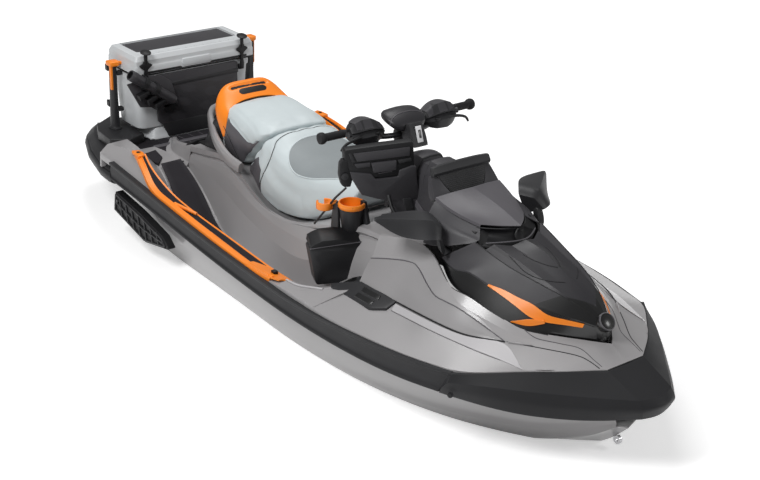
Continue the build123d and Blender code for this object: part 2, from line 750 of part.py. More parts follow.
with BuildPart() as accessory_brackets:
    block((cup_station - 38, cup_station + 42), (-345, -262), (600, cup_heights[0]))
    block((ring_station - 8, cup_station - 18), (ring_side - 8, ring_side + 40), (745, cup_heights[0]))
    block((ring_station - 8, ring_station + 8), (ring_side + ring_outer + seat_clearance, ring_side + 40),
          (745, 860))
    side_profile([(station, console_foot + deck_slope * (station - cockpit_length)) for station in finder_foot]
                 + [(finder_foot[1] - 10, 910), (finder_foot[0] + 10, 910)], 30, offset=finder_side)
    for piece in (deck, foredeck_shell, seat_pedestal, side_box):
        add(piece.part, mode=Mode.SUBTRACT)
save(accessory_brackets, "accessory_brackets")

# ---------------------------------------------------------------- cooler
cooler_aft = cooler_station - cooler_depth / 2
cooler_fore = cooler_station + cooler_depth / 2
deck_top = platform_height + mat_thickness
cooler_bottom = deck_top + rack_height
cooler_top = cooler_bottom + cooler_height
taper = 45.0
with BuildPart() as cooler_base:
    block((cooler_aft + 20, cooler_fore - 20), (-250, 250), (deck_top, cooler_bottom))
save(cooler_base, "cooler_base")

with BuildPart() as cooler_body:
    with BuildSketch(Plane.XY.offset(up(cooler_bottom))):
        with Locations((fore(cooler_station), 0)):
            Rectangle(cooler_depth - 30, cooler_width - 2 * taper)
    with BuildSketch(Plane.XY.offset(up(cooler_top))):
        with Locations((fore(cooler_station), 0)):
            Rectangle(cooler_depth, cooler_width)
    loft(ruled=True)
    with Locations((fore(cooler_station), 0, up((cooler_bottom + cooler_wall + cooler_top) / 2))):
        Box(cooler_depth - 30 - 2 * cooler_wall, cooler_width - 2 * taper - 2 * cooler_wall,
            cooler_height - cooler_wall, mode=Mode.SUBTRACT)
save(cooler_body, "cooler_body")

lid_low = cooler_top + lid_gap
with BuildPart() as cooler_lid:
    block((cooler_aft - lid_overhang, cooler_fore + lid_overhang),
          (-cooler_width / 2 - lid_overhang, cooler_width / 2 + lid_overhang),
          (lid_low, lid_low + lid_height))
save(cooler_lid, "cooler_lid")

latch_side, latch_half = cooler_width / 2 - 40, 15.0
latch_gap = 2.0
latch_face = cooler_fore + lid_overhang + latch_gap
with BuildPart() as cooler_latches:
    for side in (-1, 1):
        side_profile([(cooler_fore, cooler_top - 65), (latch_face + 12, cooler_top - 65),
                      (latch_face + 12, lid_low + lid_height + 20), (latch_face, lid_low + lid_height + 20),
                      (latch_face, cooler_top - 15), (cooler_fore, cooler_top - 15)],
                     latch_half, offset=side * latch_side)
    add(cooler_body.part, mode=Mode.SUBTRACT)
save(cooler_latches, "cooler_latches")

with BuildPart() as cooler_panel:
    block((cooler_fore - 15, cooler_fore + 12), (-235, 255), (cooler_bottom + 20, cooler_top - 10))
    add(cooler_body.part, mode=Mode.SUBTRACT)
save(cooler_panel, "cooler_panel")

# ---------------------------------------------------------------- rack posts, hooks, tool holder
post_half = 18.0
post_side = cooler_width / 2 + lid_overhang + 20 + post_half
post_stations = (290.0, 335.0)
post_top = 985.0
with BuildPart() as rack_posts:
    for side in (-1, 1):
        sides = sorted((side * (post_side - post_half), side * (post_side + post_half)))
        block(post_stations, sides, (deck_top, post_top))
save(rack_posts, "rack_posts")

with BuildPart() as post_hooks:
    for side in (-1, 1):
        sides = sorted((side * (post_side - 20), side * (post_side + 22)))
        block((280, 345), sides, (post_top, post_top + 22))
save(post_hooks, "post_hooks")

tool_side = 70 - latch_side
with BuildPart() as tool_holder:
    block((latch_face + 20, latch_face + 32), (tool_side - 120, tool_side + 75), (cooler_bottom + 140, cooler_top - 15))
    block((cooler_fore + 10, latch_face + 21), (tool_side - 10, tool_side + 10), (830, 860))
    with Locations(Plane(origin=(fore(latch_face + 26), tool_side - 125, up(900)), x_dir=(1, 0, 0),
                         z_dir=(0, -.5, .85))):
        Cylinder(16, 170)
    add(cooler_body.part, mode=Mode.SUBTRACT)
    add(cooler_panel.part, mode=Mode.SUBTRACT)
save(tool_holder, "tool_holder")

# ---------------------------------------------------------------- bow and stern eyes
eye_outer, eye_inner, eye_thickness = 18.0, 8.0, 12.0
eye_standoff = 12.0
stem_foot, stem_head = [(SHELL[index][0], corner(index, "keel")[1]) for index in (NOSE, SNOUT)]
stem_run = math.hypot(stem_head[0] - stem_foot[0], stem_head[1] - stem_foot[1])
eye_station = stem_head[0] + eye_standoff * (stem_head[1] - stem_foot[1]) / stem_run
eye_height = stem_head[1] - eye_standoff * (stem_head[0] - stem_foot[0]) / stem_run
stern_eye_side, stern_eye_height = 0.55 * half_beam, 330.0
with BuildPart() as towing_eyes:
    for place in [(fore(eye_station), 0, up(eye_height)),
                  (fore(transom - eye_standoff), -stern_eye_side, up(stern_eye_height)),
                  (fore(transom - eye_standoff), stern_eye_side, up(stern_eye_height))]:
        with Locations(place):
            Cylinder(eye_outer, eye_thickness, rotation=(90, 0, 0))
            Cylinder(eye_inner, eye_thickness, rotation=(90, 0, 0), mode=Mode.SUBTRACT)
    add(hull.part, mode=Mode.SUBTRACT)
save(towing_eyes, "towing_eyes")
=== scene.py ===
"""A personal watercraft with a fishing fit-out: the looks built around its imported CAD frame.

Places are given as (station, side, height) in metres: station is measured forward from the platform's
aft edge, side from the centreline, height from the keel. at() turns them into the frame's own axes.
"""
import json
import math

import bmesh
import bpy
from mathutils import Matrix, Vector
from mathutils.bvhtree import BVHTree
from mathutils.kdtree import KDTree

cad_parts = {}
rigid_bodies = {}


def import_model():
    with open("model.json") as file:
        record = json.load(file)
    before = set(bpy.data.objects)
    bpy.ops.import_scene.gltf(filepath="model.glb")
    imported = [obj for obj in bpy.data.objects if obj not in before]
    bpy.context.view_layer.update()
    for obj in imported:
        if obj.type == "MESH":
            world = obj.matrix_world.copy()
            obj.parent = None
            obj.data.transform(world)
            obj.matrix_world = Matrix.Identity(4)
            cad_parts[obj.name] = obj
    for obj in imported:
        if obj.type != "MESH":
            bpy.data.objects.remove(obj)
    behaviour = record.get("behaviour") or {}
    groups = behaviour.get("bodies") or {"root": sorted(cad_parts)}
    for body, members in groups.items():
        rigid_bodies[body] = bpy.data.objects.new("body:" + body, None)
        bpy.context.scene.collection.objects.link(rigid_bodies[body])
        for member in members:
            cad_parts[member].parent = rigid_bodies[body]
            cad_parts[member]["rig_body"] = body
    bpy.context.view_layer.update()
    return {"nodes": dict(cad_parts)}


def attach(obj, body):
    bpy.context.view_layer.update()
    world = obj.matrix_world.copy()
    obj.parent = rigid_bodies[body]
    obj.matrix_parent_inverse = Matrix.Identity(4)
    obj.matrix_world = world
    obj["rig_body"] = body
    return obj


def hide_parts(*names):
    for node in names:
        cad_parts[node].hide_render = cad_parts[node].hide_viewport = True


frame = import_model()
scene = bpy.context.scene

MIDSHIP, DRAFT = 1.85, 0.25
BOTH, PORT, STARBOARD = (1, -1), (1,), (-1,)
WELD, FINE_WELD, HAIR = .0004, .0002, .00005
HARD_CREASE = .95
BEVEL_STEPS, BEVEL_ANGLE = 3, math.radians(30)
BAR_STEPS = 4
EDGE_SEEN, EDGE_WORN = .53, .62


def at(station, side, height):
    """A point of the frame from its station, side and height."""
    return Vector((station - MIDSHIP, side, height - DRAFT))


def placed(keys, side=1):
    """Points of the frame from keys of (station, side, height), on the port side or mirrored."""
    return [at(key[0], side * key[1], key[2]) for key in keys]


def offset(line, outset, lift):
    """The same line, further out and higher."""
    return [(s, y + outset, h + lift) for s, y, h in line]


def whole(half, across=1):
    """A closed outline from its half: the rest is mirrored, and points on the centre aren't doubled."""
    far = [list(point) for point in reversed(half) if point[across]]
    for point in far:
        point[across] = -point[across]
    return half + far


# ---------------------------------------------------------------- finishes

def linear(value):
    """A colour value of 0 to 255 in linear light."""
    share = value / 255
    return share / 12.92 if share <= .04045 else ((share + .055) / 1.055) ** 2.4


def toned(colour, gain, lift=0.0):
    """A colour made lighter or darker, never past white, with its alpha."""
    return [min(1, value * gain + lift) for value in colour] + [1]


def noded(tree, kind, **values):
    """A new shader node with its inputs set, an underscore standing for a space in their names."""
    node = tree.nodes.new("ShaderNode" + kind)
    for socket, value in values.items():
        node.inputs[socket.replace("_", " ")].default_value = value
    return node


def wired(tree, *wires):
    """Links nodes, each wire an output's node and name and an input's node and name."""
    for source, output, target, socket in wires:
        tree.links.new(source.outputs[output], target.inputs[socket])


def finish(name, slot, colour, rough, grain=900, depth=.02, mottle=.06, wear=.25, metal=0.0, coat=0.0,
           sheen=0.0, leather=False, gloss=.5, smudges=.07):
    """A moulded, painted or cast surface: mottled colour, uneven roughness, fine grain, worn edges."""
    material = bpy.data.materials.new(name)
    material.use_nodes = True
    material["slot"] = slot
    tree = material.node_tree
    shader = tree.nodes["Principled BSDF"]
    for socket, value in (("Metallic", metal), ("Coat Weight", coat), ("Coat Roughness", .12),
                          ("Sheen Weight", sheen), ("Specular IOR Level", gloss)):
        shader.inputs[socket].default_value = value
    base = [linear(value) for value in colour]
    place = noded(tree, "TexCoord")
    clouds = noded(tree, "TexNoise", Scale=5, Detail=6)
    tint = noded(tree, "ValToRGB")
    for stop, spot, gain in zip(tint.color_ramp.elements, (.3, .7), (1 - mottle, 1 + mottle)):
        stop.position = spot
        stop.color = toned(base, gain)
    edges = noded(tree, "NewGeometry")
    band = noded(tree, "MapRange", From_Min=EDGE_SEEN, From_Max=EDGE_WORN, To_Max=wear)
    worn = noded(tree, "Mix")
    worn.data_type = "RGBA"
    worn.inputs["B"].default_value = toned(base, 1.5, .05)
    smudge = noded(tree, "TexNoise", Scale=14, Detail=8)
    dull = noded(tree, "MapRange", To_Min=max(.03, rough - smudges), To_Max=min(1, rough + smudges))
    fine = noded(tree, "TexVoronoi" if leather else "TexNoise", Scale=grain)
    relief = noded(tree, "Bump", Strength=min(1, depth * 10), Distance=depth * .01)
    bumps = "Distance" if leather else "Fac"
    wired(tree, (place, "Object", clouds, "Vector"), (place, "Object", smudge, "Vector"),
          (place, "Object", fine, "Vector"), (clouds, "Fac", tint, "Fac"),
          (edges, "Pointiness", band, "Value"), (band, "Result", worn, "Factor"),
          (tint, "Color", worn, "A"), (worn, "Result", shader, "Base Color"),
          (smudge, "Fac", dull, "Value"), (dull, "Result", shader, "Roughness"),
          (fine, bumps, relief, "Height"), (relief, "Normal", shader, "Normal"))
    return material


COATED = {"depth": .001, "mottle": .02, "wear": .1, "smudges": .02}
MOULDED = {"grain": 1400, "gloss": .3}
STITCHED = {"grain": 420, "wear": .1, "leather": True}

GELCOAT = finish("gelcoat", "hull_grey", (148, 146, 147), .3, coat=.3, **COATED)
DECKCOAT = finish("deckcoat", "deck_grey", (150, 148, 149), .32, coat=.25, **COATED)
SATIN = finish("satin_plastic", "black_plastic", (40, 40, 42), .46, **MOULDED)
CHARCOAL = finish("charcoal_plastic", "black_plastic", (58, 57, 60), .42, **MOULDED)
SLATE = finish("slate_plastic", "black_plastic", (84, 82, 86), .4, grain=1400, gloss=.35)
GLOSS = finish("gloss_black", "black_gloss", (12, 12, 13), .3, depth=.002, wear=.1, coat=.3, smudges=.03)
ORANGE = finish("orange_plastic", "orange_plastic", (244, 133, 26), .38, grain=1300, mottle=.03, wear=.2)
RUBBER = finish("bumper_rubber", "dark_trim", (36, 36, 38), .55, grain=1100, depth=.03, gloss=.25)
MAT = finish("deck_mat", "rubber_mat", (36, 34, 38), .8, grain=700, depth=.06, gloss=.2)
VINYL = finish("seat_vinyl", "seat_vinyl", (193, 202, 204), .48, depth=.03, sheen=.1, **STITCHED)
SADDLE = finish("saddle_vinyl", "seat_vinyl", (134, 140, 142), .55, depth=.04, **STITCHED)
COOLER = finish("cooler_plastic", "cooler_plastic", (196, 199, 201), .42, grain=800, depth=.03)
TRIM = finish("trim_plastic", "dark_trim", (22, 22, 24), .5, grain=1100, gloss=.3)
GRIP = finish("grip_moulding", "grip_rubber", (26, 26, 28), .68, grain=500, depth=.05, gloss=.25)
STEEL = finish("bar_steel", "bar_steel", (60, 60, 62), .36, metal=.6, grain=600)
# Painted highlight: a lighter copy of the deck gelcoat for facets that catch the light.
LIT_GELCOAT = finish("gelcoat_facet", "deck_grey", (182, 180, 182), .3, coat=.25, **COATED)
# Painted shade: a darker copy of the deck gelcoat for the foredeck flank, which lies in shade.
SHADED_GELCOAT = finish("gelcoat_shade", "deck_grey", (140, 138, 139), .34, coat=.2, **COATED)
INKY = finish("hood_centre", "black_plastic", (44, 43, 46), .4, **MOULDED)
PALE = finish("pale_plastic", "deck_grey", (226, 226, 228), .35, grain=1000)
BRIGHT = finish("eye_steel", "eye_steel", (190, 190, 192), .22, metal=1.0, grain=500, depth=.01)
CAST = finish("pump_aluminium", "pump_aluminium", (150, 152, 155), .42, metal=1.0, grain=350, depth=.04)
BLADE = finish("impeller_steel", "impeller_steel", (175, 176, 178), .25, metal=1.0, grain=300, depth=.01)
IRON = finish("engine_iron", "engine_iron", (90, 92, 95), .55, metal=.6, grain=200, depth=.08)

FINISHES = (GELCOAT, DECKCOAT, SATIN, GLOSS, ORANGE, MAT, VINYL, COOLER, TRIM, GRIP, STEEL, CAST, BLADE,
            IRON, BRIGHT)
DRESSED = {surface["slot"]: surface for surface in FINISHES}


def dress_nodes():
    """Every CAD node that stays in view gets the detailed finish of its own slot."""
    for node in frame["nodes"].values():
        for index, held in enumerate(node.data.materials):
            name = held.name.split(".")[0]
            if name in DRESSED:
                node.data.materials[index] = DRESSED[name]


# ---------------------------------------------------------------- shapes

def outward(bm, out):
    """Turns every face of an open shell so that the shell faces out on the whole."""
    total = Vector()
    for face in bm.faces:
        face.normal_update()
        total += face.normal * face.calc_area()
    if total.dot(Vector(out)) < 0:
        bmesh.ops.reverse_faces(bm, faces=bm.faces)


def evaluated(obj):
    """The mesh that an object's modifiers make of it."""
    graph = bpy.context.evaluated_depsgraph_get()
    graph.update()
    return bpy.data.meshes.new_from_object(obj.evaluated_get(graph))


def settle(name, bm, surface, body="craft", level=0, wall=0.0, bevel=0.0, smooth=38, welded=True):
    """Makes an object of a bmesh: welded, bevelled, subdivided, walled, dressed, and riding on a body."""
    if welded:
        bmesh.ops.remove_doubles(bm, verts=bm.verts, dist=WELD)
    mesh = bpy.data.meshes.new(name)
    bm.to_mesh(mesh)
    bm.free()
    obj = bpy.data.objects.new(name, mesh)
    scene.collection.objects.link(obj)
    if bevel:
        rounding = obj.modifiers.new("rounding", "BEVEL")
        rounding.width = bevel
        rounding.segments = BEVEL_STEPS
        rounding.limit_method = "ANGLE"
        rounding.angle_limit = BEVEL_ANGLE
    if level:
        division = obj.modifiers.new("division", "SUBSURF")
        division.levels = level
        division.render_levels = level
        division.boundary_smooth = "PRESERVE_CORNERS"
    if wall:
        thickness = obj.modifiers.new("thickness", "SOLIDIFY")
        thickness.thickness = wall
        thickness.offset = -1
    final = evaluated(obj)
    obj.modifiers.clear()
    obj.data = final
    final.materials.clear()
    final.materials.append(surface)
    final.polygons.foreach_set("use_smooth", [True] * len(final.polygons))
    creased = [edge.use_edge_sharp for edge in final.edges]
    final.set_sharp_from_angle(angle=math.radians(smooth))
    for edge, kept in zip(final.edges, creased):
        edge.use_edge_sharp = edge.use_edge_sharp or kept
    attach(obj, body)
    return obj


def along(keys, station):
    """The point at a station on a line through (station, side, height) keys, level past its ends."""
    if station <= keys[0][0]:
        return Vector(keys[0])
    if station >= keys[-1][0]:
        return Vector(keys[-1])
    for index in range(len(keys) - 1):
        first, second = Vector(keys[index]), Vector(keys[index + 1])
        if station <= second.x:
            break
    before = Vector(keys[index - 1]) if index else first
    after = Vector(keys[index + 2]) if index + 2 < len(keys) else second
    share = (station - first.x) / (second.x - first.x)
    lead = (second - before) * ((second.x - first.x) / (second.x - before.x))
    trail = (after - first) * ((second.x - first.x) / (after.x - first.x))
    square, cube = share * share, share ** 3
    point = (first * (2 * cube - 3 * square + 1) + lead * (cube - 2 * square + share)
             + second * (3 * square - 2 * cube) + trail * (cube - square))
    return Vector((station, point.y, point.z))


def grid(bm, rows, tight=0.0, closed=False, ends=0.0, capped=False, cross=None):
    """Faces between rows of points, their edges creased.

    tight creases every column, or tight[j] column j; ends creases the end rows and cross[i] row i.
    """
    crease = bm.edges.layers.float.get("crease_edge") or bm.edges.layers.float.new("crease_edge")
    held = [[bm.verts.new(point) for point in row] for row in rows]
    count = len(rows[0])
    if not isinstance(tight, list):
        tight = [tight] * count
    wide = count if closed else count - 1
    for near, far in zip(held, held[1:]):
        for j in range(wide):
            bm.faces.new((near[j], near[(j + 1) % count], far[(j + 1) % count], far[j]))
        for j in range(count):
            edge = bm.edges.get((near[j], far[j]))
            edge[crease] = tight[j]
            edge.smooth = tight[j] < HARD_CREASE
    across = {0: ends, len(rows) - 1: ends}
    across.update(cross or {})
    for i, value in across.items():
        for j in range(wide):
            edge = bm.edges.get((held[i][j], held[i][(j + 1) % count]))
            edge[crease] = value
            edge.smooth = value < HARD_CREASE
    if capped:
        bm.faces.new(list(reversed(held[0])))
        bm.faces.new(held[-1])


def halves(bm, sides):
    """Gives each side and an empty bmesh, then adds what that was filled with, creases and all, to bm."""
    for side in sides:
        half = bmesh.new()
        yield side, half
        mesh = bpy.data.meshes.new("part")
        half.to_mesh(mesh)
        half.free()
        bm.from_mesh(mesh)
        bpy.data.meshes.remove(mesh)


def cuts(lines, stations):
    """The points where each station, or each equal step, meets the lines."""
    if isinstance(stations, int):
        for step in range(stations + 1):
            share = step / stations
            yield [along(line, line[0][0] * (1 - share) + line[-1][0] * share) for line in lines]
    else:
        for station in stations:
            yield [along(line, station) for line in lines]


def skin(name, lines, stations, surface, tight=0.0, sides=BOTH, out=(0, 0, 1), closed=False, wall=.004,
         body="craft", smooth=38, cross=None):
    """A panel that runs along the craft through lines of keys, the same on both sides of the centre.

    Stations are places shared by all the lines, or a number of equal steps along each line's own length.
    """
    bm = bmesh.new()
    for side, half in halves(bm, sides):
        rows = [placed(points, side) for points in cuts(lines, stations)]
        grid(half, rows, tight, closed, 1, capped=closed, cross=cross)
        bmesh.ops.remove_doubles(half, verts=half.verts, dist=WELD)
        if closed:
            bmesh.ops.recalc_face_normals(half, faces=half.faces)
        else:
            outward(half, (out[0], side * out[1], out[2]))
    return settle(name, bm, surface, body, 2, 0 if closed else wall, smooth=smooth)


def skin_rows(name, rows, surface, body, tight=.9, wall=.003, out=(.3, 0, 1)):
    """A thin panel through rows of points, the same on both sides."""
    bm = bmesh.new()
    for side, half in halves(bm, BOTH):
        grid(half, [placed(row, side) for row in rows], tight, ends=1)
        outward(half, (out[0], side * out[1], out[2]))
    settle(name, bm, surface, body, 2, wall)


def painted(obj, surface, spots):
    """Cuts an object on both sides along an upright plane through two spots and dresses the far side.

    The far side is the one to the left when walking from the first spot to the second on the port side.
    """
    mesh = obj.data
    bm = bmesh.new()
    bm.from_mesh(mesh)
    first, second = (at(*spot) for spot in spots)
    normal = Vector((0, 0, 1)).cross(second - first).normalized()
    mesh.materials.append(surface)
    index = len(mesh.materials) - 1
    for side in BOTH:
        spot = Vector((first.x, side * first.y, 0))
        across = Vector((normal.x, side * normal.y, 0))
        pieces = bm.verts[:] + bm.edges[:] + bm.faces[:]
        bmesh.ops.bisect_plane(bm, geom=pieces, plane_co=spot, plane_no=across)
    for face in bm.faces:
        middle = face.calc_center_median()
        if (Vector((middle.x, abs(middle.y), 0)) - Vector((first.x, first.y, 0))).dot(normal) > 0:
            face.material_index = index
    bm.to_mesh(mesh)
    bm.free()


def dressed(obj, surface, inner, outer, start, end):
    """Dresses the faces between two lines, from one station to another, on both sides."""
    mesh = obj.data
    mesh.materials.append(surface)
    index = len(mesh.materials) - 1
    for face in mesh.polygons:
        station = face.center.x + MIDSHIP
        if start < station < end and along(inner, station).y < abs(face.center.y) < along(outer, station).y:
            face.material_index = index


def dark_line(name, target, keys, radius, surface, body="craft"):
    """A thin dark line laid along keys on a surface, the same on both sides; it draws the foredeck's black
    seam and, along creases, painted shade.
    """
    tree = tree_of(target)
    spots = drawn(placed(keys))[::3] + [at(*keys[-1])]
    tube(name, [place_of(laid(tree, spot, 0)) for spot in spots], radius, surface, body, mirror=True)


def rings(name, loops, surface, tight=0.0, ends=.9, level=2, body="craft", smooth=40, mirror=False,
          cross=None):
    """A closed body through rings of points, capped at both ends."""
    bm = bmesh.new()
    for side, half in halves(bm, BOTH if mirror else PORT):
        grid(half, [placed(ring, side) for ring in loops], tight, True, ends, True, cross)
        bmesh.ops.recalc_face_normals(half, faces=half.faces)
    return settle(name, bm, surface, body, level, smooth=smooth)


AXES = {"side": lambda a, b, t: (a, t, b), "height": lambda a, b, t: (a, b, t),
        "station": lambda a, b, t: (t, a, b)}


def prism(name, outline, low, high, surface, axis="side", bevel=.003, body="craft", mirror=False,
          smooth=38):
    """A plate or block: an outline of point pairs carried from low to high along the axis.

    The axis is side, height or station, or a function that places (a, b, distance).
    """
    spot = AXES.get(axis, axis)
    bm = bmesh.new()
    for side, half in halves(bm, BOTH if mirror else PORT):
        near, far = ([half.verts.new(point) for point in placed([spot(a, b, t) for a, b in outline], side)]
                     for t in (low, high))
        half.faces.new(near)
        half.faces.new(list(reversed(far)))
        for corners in zip(near, far, far[1:] + far[:1], near[1:] + near[:1]):
            half.faces.new(corners)
        bmesh.ops.recalc_face_normals(half, faces=half.faces)
    return settle(name, bm, surface, body, bevel=bevel, smooth=smooth)


def tube(name, points, radius, surface, body="craft", closed=False, mirror=False, radii=None, order=3):
    """A round bar along points, thinner where radii says."""
    curve = bpy.data.curves.new(name, "CURVE")
    curve.dimensions = "3D"
    curve.bevel_depth = radius
    curve.bevel_resolution = BAR_STEPS
    curve.resolution_u = BAR_STEPS
    curve.use_fill_caps = True
    for side in BOTH if mirror else PORT:
        spline = curve.splines.new("NURBS")
        spline.points.add(len(points) - 1)
        for point, spot, share in zip(spline.points, placed(points, side), radii or [1] * len(points)):
            point.co = (*spot, 1)
            point.radius = share
        spline.use_endpoint_u = not closed
        spline.use_cyclic_u = closed
        spline.order_u = min(order, len(points))
    obj = bpy.data.objects.new(name, curve)
    scene.collection.objects.link(obj)
    mesh = evaluated(obj)
    bpy.data.objects.remove(obj)
    bm = bmesh.new()
    bm.from_mesh(mesh)
    return settle(name, bm, surface, body, welded=False)


def lathe(name, profile, centre, surface, axis=(0, 0, 1), body="craft", steps=40, mirror=False):
    """A turned piece: (radius, distance) pairs along an axis through centre."""
    bm = bmesh.new()
    for side, half in halves(bm, BOTH if mirror else PORT):
        origin = at(centre[0], side * centre[1], centre[2])
        line = Vector((axis[0], side * axis[1], axis[2])).normalized()
        across = line.orthogonal().normalized()
        over = line.cross(across)
        turns = [2 * math.pi * step / steps for step in range(steps)]
        spokes = [across * math.cos(turn) + over * math.sin(turn) for turn in turns]
        grid(half, [[origin + line * distance + spoke * max(radius, HAIR) for spoke in spokes]
                    for radius, distance in profile], closed=True)
        bmesh.ops.remove_doubles(half, verts=half.verts, dist=FINE_WELD)
        bmesh.ops.recalc_face_normals(half, faces=half.faces)
    return settle(name, bm, surface, body, welded=False)


# ---------------------------------------------------------------- cushions, seams and laid panels

def place_of(point):
    """The (station, side, height) of a point of the frame."""
    return point.x + MIDSHIP, point.y, point.z + DRAFT


def form(lines, stations):
    """A closed body through lines that start at the bottom centre and end at the top centre."""
    bm = bmesh.new()
    rows = []
    for points in cuts(lines, stations):
        rows.append(placed(points) + placed(reversed(points[1:-1]), -1))
    grid(bm, rows, [0, .8] + [0] * (len(rows[0]) - 3) + [.8], True, .6, True)
    bmesh.ops.recalc_face_normals(bm, faces=bm.faces)
    return bm


def trim(bm, spot, normal):
    """Cuts away the side of a closed body that the normal points to, and closes the cut."""
    pieces = bm.verts[:] + bm.edges[:] + bm.faces[:]
    cut = bmesh.ops.bisect_plane(bm, geom=pieces, plane_co=spot, plane_no=normal, clear_outer=True)
    rim = [piece for piece in cut["geom_cut"] if isinstance(piece, bmesh.types.BMEdge)]
    bmesh.ops.holes_fill(bm, edges=rim)


SWELL_FRAMES, SMOOTHINGS = 20, 16
RAY_START = .4
STITCH_DEPTH = .7
PANEL_SMOOTH = 45
PILL_STEPS = 8


def swell(obj, voxel, cap, held_below):
    """Rounds a cushion out: an even mesh under air pressure, each point moving no further than the cap."""
    even = obj.modifiers.new("even", "REMESH")
    even.mode = "VOXEL"
    even.voxel_size = voxel
    rough = evaluated(obj)
    obj.modifiers.clear()
    obj.data = rough
    held = obj.vertex_groups.new(name="held")
    held.add([v.index for v in rough.vertices if v.co.z < held_below - DRAFT], 1, "REPLACE")
    cloth = obj.modifiers.new("swelling", "CLOTH")
    cloth.settings.quality = 5
    cloth.settings.mass = .3
    cloth.settings.use_pressure = True
    cloth.settings.uniform_pressure_force = 4
    cloth.settings.effector_weights.gravity = 0
    cloth.settings.vertex_group_mass = "held"
    cloth.point_cache.frame_start = 1
    cloth.point_cache.frame_end = SWELL_FRAMES
    for step in range(1, SWELL_FRAMES + 1):
        scene.frame_set(step)
    blown = evaluated(obj)
    swollen = [v.co.copy() for v in blown.vertices]
    obj.modifiers.clear()
    scene.frame_set(1)
    for vertex, place in zip(rough.vertices, swollen):
        move = place - vertex.co
        if move.length > cap:
            move *= cap / move.length
        vertex.co += move
    even = obj.modifiers.new("even", "SMOOTH")
    even.iterations = SMOOTHINGS
    finer = obj.modifiers.new("finer", "SUBSURF")
    finer.levels = 1
    smooth = evaluated(obj)
    obj.modifiers.clear()
    obj.data = smooth
    smooth.polygons.foreach_set("use_smooth", [True] * len(smooth.polygons))


def tree_of(obj):
    """A tree of an object's faces, to find places on its surface with."""
    mesh = obj.data
    return BVHTree.FromPolygons([v.co for v in mesh.vertices], [p.vertices for p in mesh.polygons])


def laid(tree, point, lift, drop=None):
    """A point brought onto a surface, straight along drop or to the nearest place, and lifted off it."""
    hit = tree.ray_cast(point - Vector(drop) * RAY_START, Vector(drop)) if drop else (None,)
    if hit[0] is None:
        hit = tree.find_nearest(point)
    return hit[0] + hit[1] * lift


def drawn(keys, step=.004):
    """Points along a smooth line through the keys, a step apart."""
    keys = [Vector(key) for key in keys]
    line = []
    for index in range(len(keys) - 1):
        first, second = keys[index], keys[index + 1]
        before = keys[index - 1] if index else first
        after = keys[index + 2] if index + 2 < len(keys) else second
        count = max(2, int((second - first).length / step))
        for part in range(count):
            t = part / count
            line.append(.5 * (2 * first + (second - before) * t
                              + (2 * before - 5 * first + 4 * second - after) * t * t
                              + (3 * first - before - 3 * second + after) * t ** 3))
    return line + [keys[-1]]


def groove(obj, keys, depth, width, thread=0.0, drop=None, sides=BOTH):
    """A sewn or moulded channel along keys on a surface, with a dark line lying in it if thread is given."""
    tree = tree_of(obj)
    lines = [[laid(tree, point, 0, drop) for point in placed(drawn(keys), side)] for side in sides]
    every = [point for line in lines for point in line]
    near = KDTree(len(every))
    for index, point in enumerate(every):
        near.insert(point, index)
    near.balance()
    for vertex in obj.data.vertices:
        distance = near.find(vertex.co)[2]
        if distance < width:
            vertex.co -= vertex.normal * depth * (1 - (distance / width) ** 2) ** 2
    if thread:
        for index, line in enumerate(lines):
            sunk = [laid(tree, point, -depth * STITCH_DEPTH) for point in line[::3] + [line[-1]]]
            tube("%s_seam%d_%d" % (obj.name, len(bpy.data.objects), index), [place_of(p) for p in sunk],
                 thread, TRIM, obj.get("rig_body", "craft"))


def patch(name, rows, target, surface, lift=.002, drop=None, body="craft", closed=False, mirror=False,
          sink=.003):
    """A thin panel laid on a surface through rows of (station, side, height), its edges tucked in."""
    tree = tree_of(target)
    bm = bmesh.new()
    for side, half in halves(bm, BOTH if mirror else PORT):
        levels = [(rows[0], -sink)] + [(row, lift) for row in rows] + [(rows[-1], -sink)]
        sheet = []
        for row, high in levels[1:] if closed else levels:
            spots = placed(row, side)
            lifts = [high] * len(row)
            if not closed:
                spots = spots[:1] + spots + spots[-1:]
                lifts = [-sink] + lifts + [-sink]
            sheet.append([laid(tree, spot, rise, drop) for spot, rise in zip(spots, lifts)])
        grid(half, sheet, closed=closed)
        bmesh.ops.remove_doubles(half, verts=half.verts, dist=HAIR)
        total = 0
        for face in half.faces:
            face.normal_update()
            spot = tree.find_nearest(face.calc_center_median())
            total += face.normal.dot(spot[1]) * face.calc_area()
        if total < 0:
            bmesh.ops.reverse_faces(half, faces=half.faces)
    settle(name, bm, surface, body, smooth=PANEL_SMOOTH, welded=False)


def blended(edge_a, edge_b, down, across):
    """Rows of points between two polylines, evenly spaced."""
    return [[tuple(Vector(spread(edge_a, j / down)).lerp(Vector(spread(edge_b, j / down)), i / across))
             for j in range(down + 1)] for i in range(across + 1)]


def spread(keys, share):
    """The point a share of the way along a polyline of keys."""
    keys = [Vector(key) for key in keys]
    lengths = [(b - a).length for a, b in zip(keys, keys[1:])]
    goal = share * sum(lengths)
    for index, length in enumerate(lengths):
        if goal <= length or index == len(lengths) - 1:
            return keys[index].lerp(keys[index + 1], min(1, goal / max(length, 1e-9)))
        goal -= length
    return keys[-1]


def pill(length, width, wide):
    """Rows of (along, across) that fill a round-ended strip."""
    radius = width / 2
    rows = []
    for i in range(2 * PILL_STEPS + 1):
        share = -1 + i / PILL_STEPS
        run = math.copysign(abs(share) ** .6, share) * length / 2
        over = abs(run) - (length / 2 - radius)
        half = radius if over <= 0 else math.sqrt(max(0, radius ** 2 - over ** 2))
        rows.append([(run, half * (j / wide)) for j in range(-wide, wide + 1)])
    return rows


# ---------------------------------------------------------------- hull, rails and bumper

